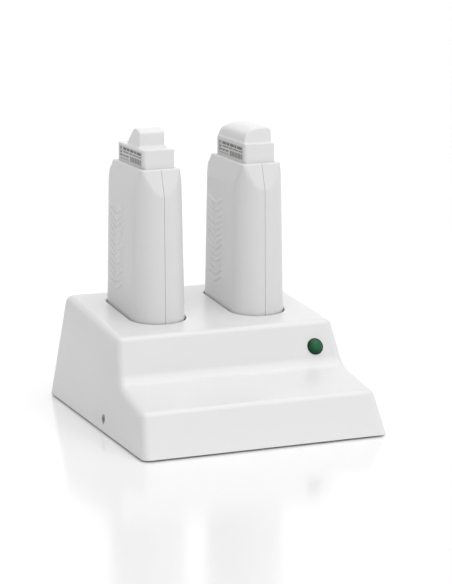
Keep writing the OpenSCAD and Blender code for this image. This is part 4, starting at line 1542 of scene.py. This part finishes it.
@dataclass
class Cap:
    """A snap-on cap over a roller."""

    z0: float = 225.93
    thick: float = 1.5
    foot_k: float = 2.6
    flange_h: float = 0.06

    def form(self, inset: float) -> Field:
        """The cap's outside as a field.

        Args:
            inset: how far it is moved in.

        Returns:
            The field.
        """
        raise NotImplementedError

    def rays(self) -> tuple[Array, float, float]:
        """Ray directions on the plan, half the length of their spine, and the spine's middle."""
        raise NotImplementedError

    def build(self, side: str, x: float) -> None:
        """Make and dress the hollow cap.

        Args:
            side: the heater that it belongs to.
            x: the station's middle.
        """
        outer, inner = (dome(self.form(inset), *self.rays(), self.z0) for inset in (0, self.thick))
        made = Solid().grid(outer).grid(inner[:, ::-1]).grid(np.array([inner[0], outer[0]]))
        fine = made.place(shift(x, STATION_Y)).object(side + "_cap_fine", 60)
        dress(fine, Finish.CAP, side + "_cap", side + "_cap")


@dataclass
class WideCap(Cap):
    """The wide cap: one arc over the roller, flush with the collar on the left."""

    left: float = 13.5
    right: float = 11.2
    front: float = 29.6
    rear: float = 31.2
    height: float = 14.4
    crest_x: float = 3.0
    shoulder: float = 7.7
    rear_r: float = 22.0
    edge_k: float = 1.3
    roof_k: float = 2.4
    right_k: float = 4.5
    rear_k: float = 2.0

    def form(self, inset: float) -> Field:
        """The cap's outside as a field.

        Args:
            inset: how far it is moved in.

        Returns:
            The field.
        """
        run, drop = self.left + self.crest_x, self.height - self.shoulder
        r = (run * run + drop * drop) / (2 * drop)

        def field_at(p: Array) -> Array:
            """Distance to the skin.

            Args:
                p: points, with xyz last.

            Returns:
                Negative inside.
            """
            x, y, z = p[..., 0], p[..., 1], p[..., 2] - self.z0
            roof = np.hypot(x - self.crest_x, z - self.height + r) - r
            d = smax(roof, -self.left - x + 0.085 * np.clip(z - 1.0, 0, None), self.roof_k)
            d = smax(d, x - self.right, self.right_k)
            over = np.hypot(np.clip(y - self.rear + self.rear_r, 0, None),
                            np.clip(z - self.height + self.rear_r, 0, None)) - self.rear_r
            d = smax(d, np.maximum(over, y - self.rear), self.rear_k)
            d = smax(d, -self.front - y, self.edge_k)
            if inset:
                return d + inset
            plate = np.maximum(bullet_distance(x, y, self.left, self.rear, 2.6, 5.0),
                               z - self.flange_h)
            return smin(d, plate, self.foot_k)

        return field_at

    def rays(self) -> tuple[Array, float, float]:
        """Ray directions on the plan, half the length of their spine, and the spine's middle."""
        plan = fine_loop(bullet_loop(2 * self.left, 2 * self.rear, 4, 6), 2.0)
        return plan, self.rear - self.left, 0.0


@dataclass
class NarrowCap(Cap):
    """The narrow cap: a tower with an upright front and a sloping back."""

    half_w: float = 11.2
    front: float = -14.5
    profile: tuple[tuple[float, float], ...] = (
        (15.5, 1.0), (13.5, 3.4), (9.5, 7.0), (5.5, 10.6), (1.5, 13.6), (-2.5, 15.3),
        (-6.5, 15.3), (-12.6, 13.5), (-13.9, 13.0), (-14.5, 12.2), (-14.5, -1.0))
    edge_k: float = 1.5
    step: float = 0.9
    fillet_end: float = 10.0

    def form(self, inset: float) -> Field:
        """The cap's outside as a field.

        Args:
            inset: how far it is moved in.

        Returns:
            The field.
        """
        points = np.array(self.profile)

        def field_at(p: Array) -> Array:
            """Distance to the skin.

            Args:
                p: points, with xyz last.

            Returns:
                Negative inside.
            """
            x, y, z = p[..., 0], p[..., 1], p[..., 2] - self.z0
            d = y - points[0][0]
            for a, b in zip(points[:-1], points[1:]):
                way = (b - a) / np.linalg.norm(b - a)
                d = smax(d, (y - a[0]) * way[1] - (z - a[1]) * way[0], 0.7)
            d = smax(d, np.abs(x) - self.half_w, self.edge_k)
            if inset:
                return d + inset
            plate = np.maximum(np.abs(x) - self.half_w - self.step, z - self.flange_h)
            plate = np.maximum(plate, np.maximum(self.front - self.step - y, y - self.fillet_end))
            return smin(d, plate, self.foot_k)

        return field_at

    def rays(self) -> tuple[Array, float, float]:
        """Ray directions on the plan, half the length of their spine, and the spine's middle."""
        return fine_loop(bullet_loop(2 * self.half_w, 32, 2.5, 2.5), 1.6), 6.0, 0.5


@dataclass
class Cartridge:
    """A wax cartridge: tank, head, roller, label and cap."""

    side: str
    x: float
    cap: Cap
    roller_d: float
    roller_l: float
    roller_y: float
    axis_z: float
    seat: tuple[float, float, float]
    collar_w: float = 27.6
    collar_l: float = 63.0
    collar_r: float = 2.6
    z_low: float = 206.5
    z_top: float = 225.9
    ease: float = 0.45
    tank_w: float = 24.0
    tank_l: float = 49.0
    tank_t: float = 1.2
    gap: float = 0.4
    cheek_t: float = 2.4
    cheek_r: float = 3.8
    bore_r: float = 2.05
    pin_r: float = 2.0
    groove_pitch: float = 1.5

    def slab(self, w: float, l: float, r: float, z0: float, z1: float, y: float = 0.0,
             ease: float = 0.3) -> Solid:
        """A round-cornered block with eased top and bottom edges.

        Args:
            w: width.
            l: length.
            r: radius of its upright edges.
            z0: bottom.
            z1: top.
            y: its middle.
            ease: radius of the easing.

        Returns:
            The solid.
        """
        bend = [(ease * (1 - math.cos(t)), ease * (1 - math.sin(t)))
                for t in np.radians([0, 30, 60, 90])]
        steps = [(i, z0 + d) for i, d in reversed(bend)] + [(i, z1 - d) for i, d in bend]
        rows = []
        for inset, z in steps:
            corner = max(r - inset, 0.1)
            rows.append(level(bullet_loop(w - 2 * inset, l - 2 * inset, corner, corner) + [0, y], z))
        return Solid().grid(np.array(rows), ends=True)

    def axle(self) -> Array:
        """The placing matrix of the roller's axis."""
        return frame_of((self.x, STATION_Y + self.roller_y, self.axis_z), (0, 1, 0))

    def head(self) -> None:
        """Make and dress the roller head: a collar with a neck below and a trough on top."""
        at = shift(self.x, STATION_Y)
        half = self.roller_l / 2 + self.gap
        body = self.slab(self.collar_w, self.collar_l, self.collar_r, self.z_low, self.z_top,
                         ease=self.ease).place(at).object(self.side + "_head")
        neck_w, neck_l = (size - 2 * self.tank_t - 0.2 for size in (self.tank_w, self.tank_l))
        neck = self.slab(neck_w, neck_l, 1.8, self.z_low - 8.1, self.z_low + 1)
        seat_w, seat_l, seat_y = self.seat
        seat = self.slab(seat_w, seat_l, 1.0, self.z_top - 1, self.z_top + 1, seat_y)
        extra = [neck.place(at).object("neck"), seat.place(at).object("seat")]
        carve(body, extra, operation="UNION")
        trough = Solid().lathe(rod(self.roller_d / 2 + self.gap, -half, half)).place(self.axle())
        feed = self.slab(8, 2 * half - 6, 2, self.z_low - 9, self.axis_z, self.roller_y, 0.1)
        carve(body, [trough.object("trough"), feed.place(at).object("feed")])
        dress(body, Finish.HEAD, self.side + "_cartridge", self.side + "_roller_head")

    def cheeks(self) -> None:
        """Make and dress the two cheeks that carry the roller's axle."""
        r, foot, half = self.cheek_r, self.z_top - 1 - self.axis_z, self.roller_l / 2 + self.gap
        outline = np.concatenate([arc((0, 0), r, 0, 180, 24), [(-r, foot), (r, foot)]])
        bore = self.bore_r * outline / np.linalg.norm(outline, axis=1, keepdims=True)
        made = Solid()
        for start in (-half - self.cheek_t, half):
            y0 = self.roller_y + start
            y1 = y0 + self.cheek_t
            steps = ((outline * 0.94, y0), (outline, y0 + 0.25), (outline, y1 - 0.25),
                     (outline * 0.94, y1), (bore, y1), (bore, y0))
            rows = [level(loop + [0, self.axis_z], y)[:, [0, 2, 1]] for loop, y in steps]
            made.grid(np.array(rows), over=True)
        made = made.place(shift(self.x, STATION_Y)).object(self.side + "_cheeks")
        dress(made, Finish.HEAD, self.side + "_cartridge", self.side + "_roller_head")

    def roller(self) -> None:
        """Make and dress the roller, with the fine grooves that carry the wax."""
        r, half, pin = self.roller_d / 2, self.roller_l / 2, self.pin_r
        end = half + 2.8
        flank = []
        count = int((self.roller_l - 3) / self.groove_pitch)
        for i in range(count):
            y = (i - (count - 1) / 2) * self.groove_pitch
            flank += [(r, y - 0.32), (r - 0.18, y - 0.12), (r - 0.18, y + 0.12), (r, y + 0.32)]
        ends = [(0, -end), (pin - 0.25, -end), (pin, -end + 0.25), (pin, -half), (r - 0.9, -half),
                (r - 0.35, -half + 0.15), (r - 0.08, -half + 0.5), (r, -half + 0.9)]
        profile = ends + flank + [(a, -b) for a, b in reversed(ends)]
        made = Solid().lathe(profile, 64).place(self.axle()).object(self.side + "_roller_fine", 30)
        dress(made, Finish.ROLLER, self.side + "_roller", self.side + "_roller")

    def build(self) -> None:
        """Make and dress the cartridge."""
        self.head()
        self.cheeks()
        self.roller()
        self.cap.build(self.side, self.x)
        for node, finish in (("wax_tank", Finish.TANK), ("wax", Finish.WAX), ("label", Finish.LABEL)):
            carry(f"{self.side}_{node}", finish)


# ---------------------------------------------------------------- light and camera


@dataclass
class Studio:
    """Plain floor, soft light and the camera."""

    eye: tuple[float, float, float] = (-701.0, -1747.1, 499.5)
    yaw: float = math.radians(22.194)
    pitch: float = math.radians(11.823)
    focal_px: float = 2300.0
    sensor: float = 36.0
    sky: float = 0.28
    floor_half: float = 14.0
    suns: tuple[tuple[str, tuple[float, float, float], float, float], ...] = (
        ("key", (0.11, -0.09, 0.99), 1.48, 70), ("front", (0.0, -0.8, 0.6), 0.74, 90),
        ("right", (0.85, -0.45, 0.3), 0.30, 60), ("back", (0.1, 0.6, 0.8), 0.31, 90))

    def camera(self) -> None:
        """Make the camera."""
        data = bpy.data.cameras.new("camera")
        data.sensor_fit, data.sensor_width = "HORIZONTAL", self.sensor
        data.lens = self.focal_px / PHOTO_W * self.sensor
        data.clip_start, data.clip_end = 0.05, 60
        made = link("camera", data)
        flat = math.cos(self.pitch)
        ahead = Vector((math.sin(self.yaw) * flat, math.cos(self.yaw) * flat, -math.sin(self.pitch)))
        made.location = Vector(self.eye) * MM
        made.rotation_euler = ahead.to_track_quat("-Z", "Y").to_euler()
        bpy.context.scene.camera = made

    def sun(self, name: str, towards: tuple[float, float, float], strength: float,
            spread: float) -> None:
        """Add a soft sun.

        Args:
            name: its name.
            towards: from the object to the light.
            strength: its strength.
            spread: how wide it looks, in degrees.
        """
        data = bpy.data.lights.new(name, "SUN")
        data.energy, data.angle = strength, math.radians(spread)
        link(name, data).rotation_euler = Vector(towards).to_track_quat("Z", "Y").to_euler()

    def world(self) -> None:
        """Make the sky: plain light for the object, and white for the camera and for gloss."""
        world = bpy.data.worlds.new("sky")
        world.use_nodes = True
        bpy.context.scene.world = world
        tree = Tree(world.node_tree)
        path = tree.node("ShaderNodeLightPath")
        camera, gloss, through = (tree.val(path, f"Is {kind} Ray")
                                  for kind in ("Camera", "Glossy", "Transmission"))
        seen = (camera + gloss + through).capped(1.0)
        sky = tree.node("ShaderNodeBackground", values={
            "Color": (1.0, 1.0, 1.0), "Strength": seen * (1 - self.sky) + self.sky})
        out = tree.node("ShaderNodeOutputWorld")
        tree.feed(out.inputs["Surface"], sky.outputs[0])

    def build(self) -> None:
        """Make the stage, the lights and the camera."""
        mesh = bpy.data.meshes.new("floor")
        mesh.from_pydata(oblong(self.floor_half, self.floor_half, 0), [], [(0, 1, 2, 3)])
        floor = link("floor", mesh)
        mesh.materials.append(Finish.FLOOR.material())
        for sun in self.suns:
            self.sun(*sun)
        self.world()
        self.camera()
        bpy.context.scene.view_settings.view_transform = "Standard"


def main() -> None:
    """Build the whole object in order and report each piece."""
    housing = Housing()
    housing.build()
    Lamp().build()
    DockFittings().build(housing)
    for side, x in STATIONS.items():
        Heater(side, x).build()
    Cartridge("left", STATIONS["left"], NarrowCap(), 13.0, 11.0, -3.9, 230.3, (17.4, 25.8, 0.5)).build()
    Cartridge("right", STATIONS["right"], WideCap(), 19.0, 42.0, -1.5, 226.9, (20.2, 55.0, 0.0)).build()
    Studio().build()


if __name__ == "__main__":
    main()
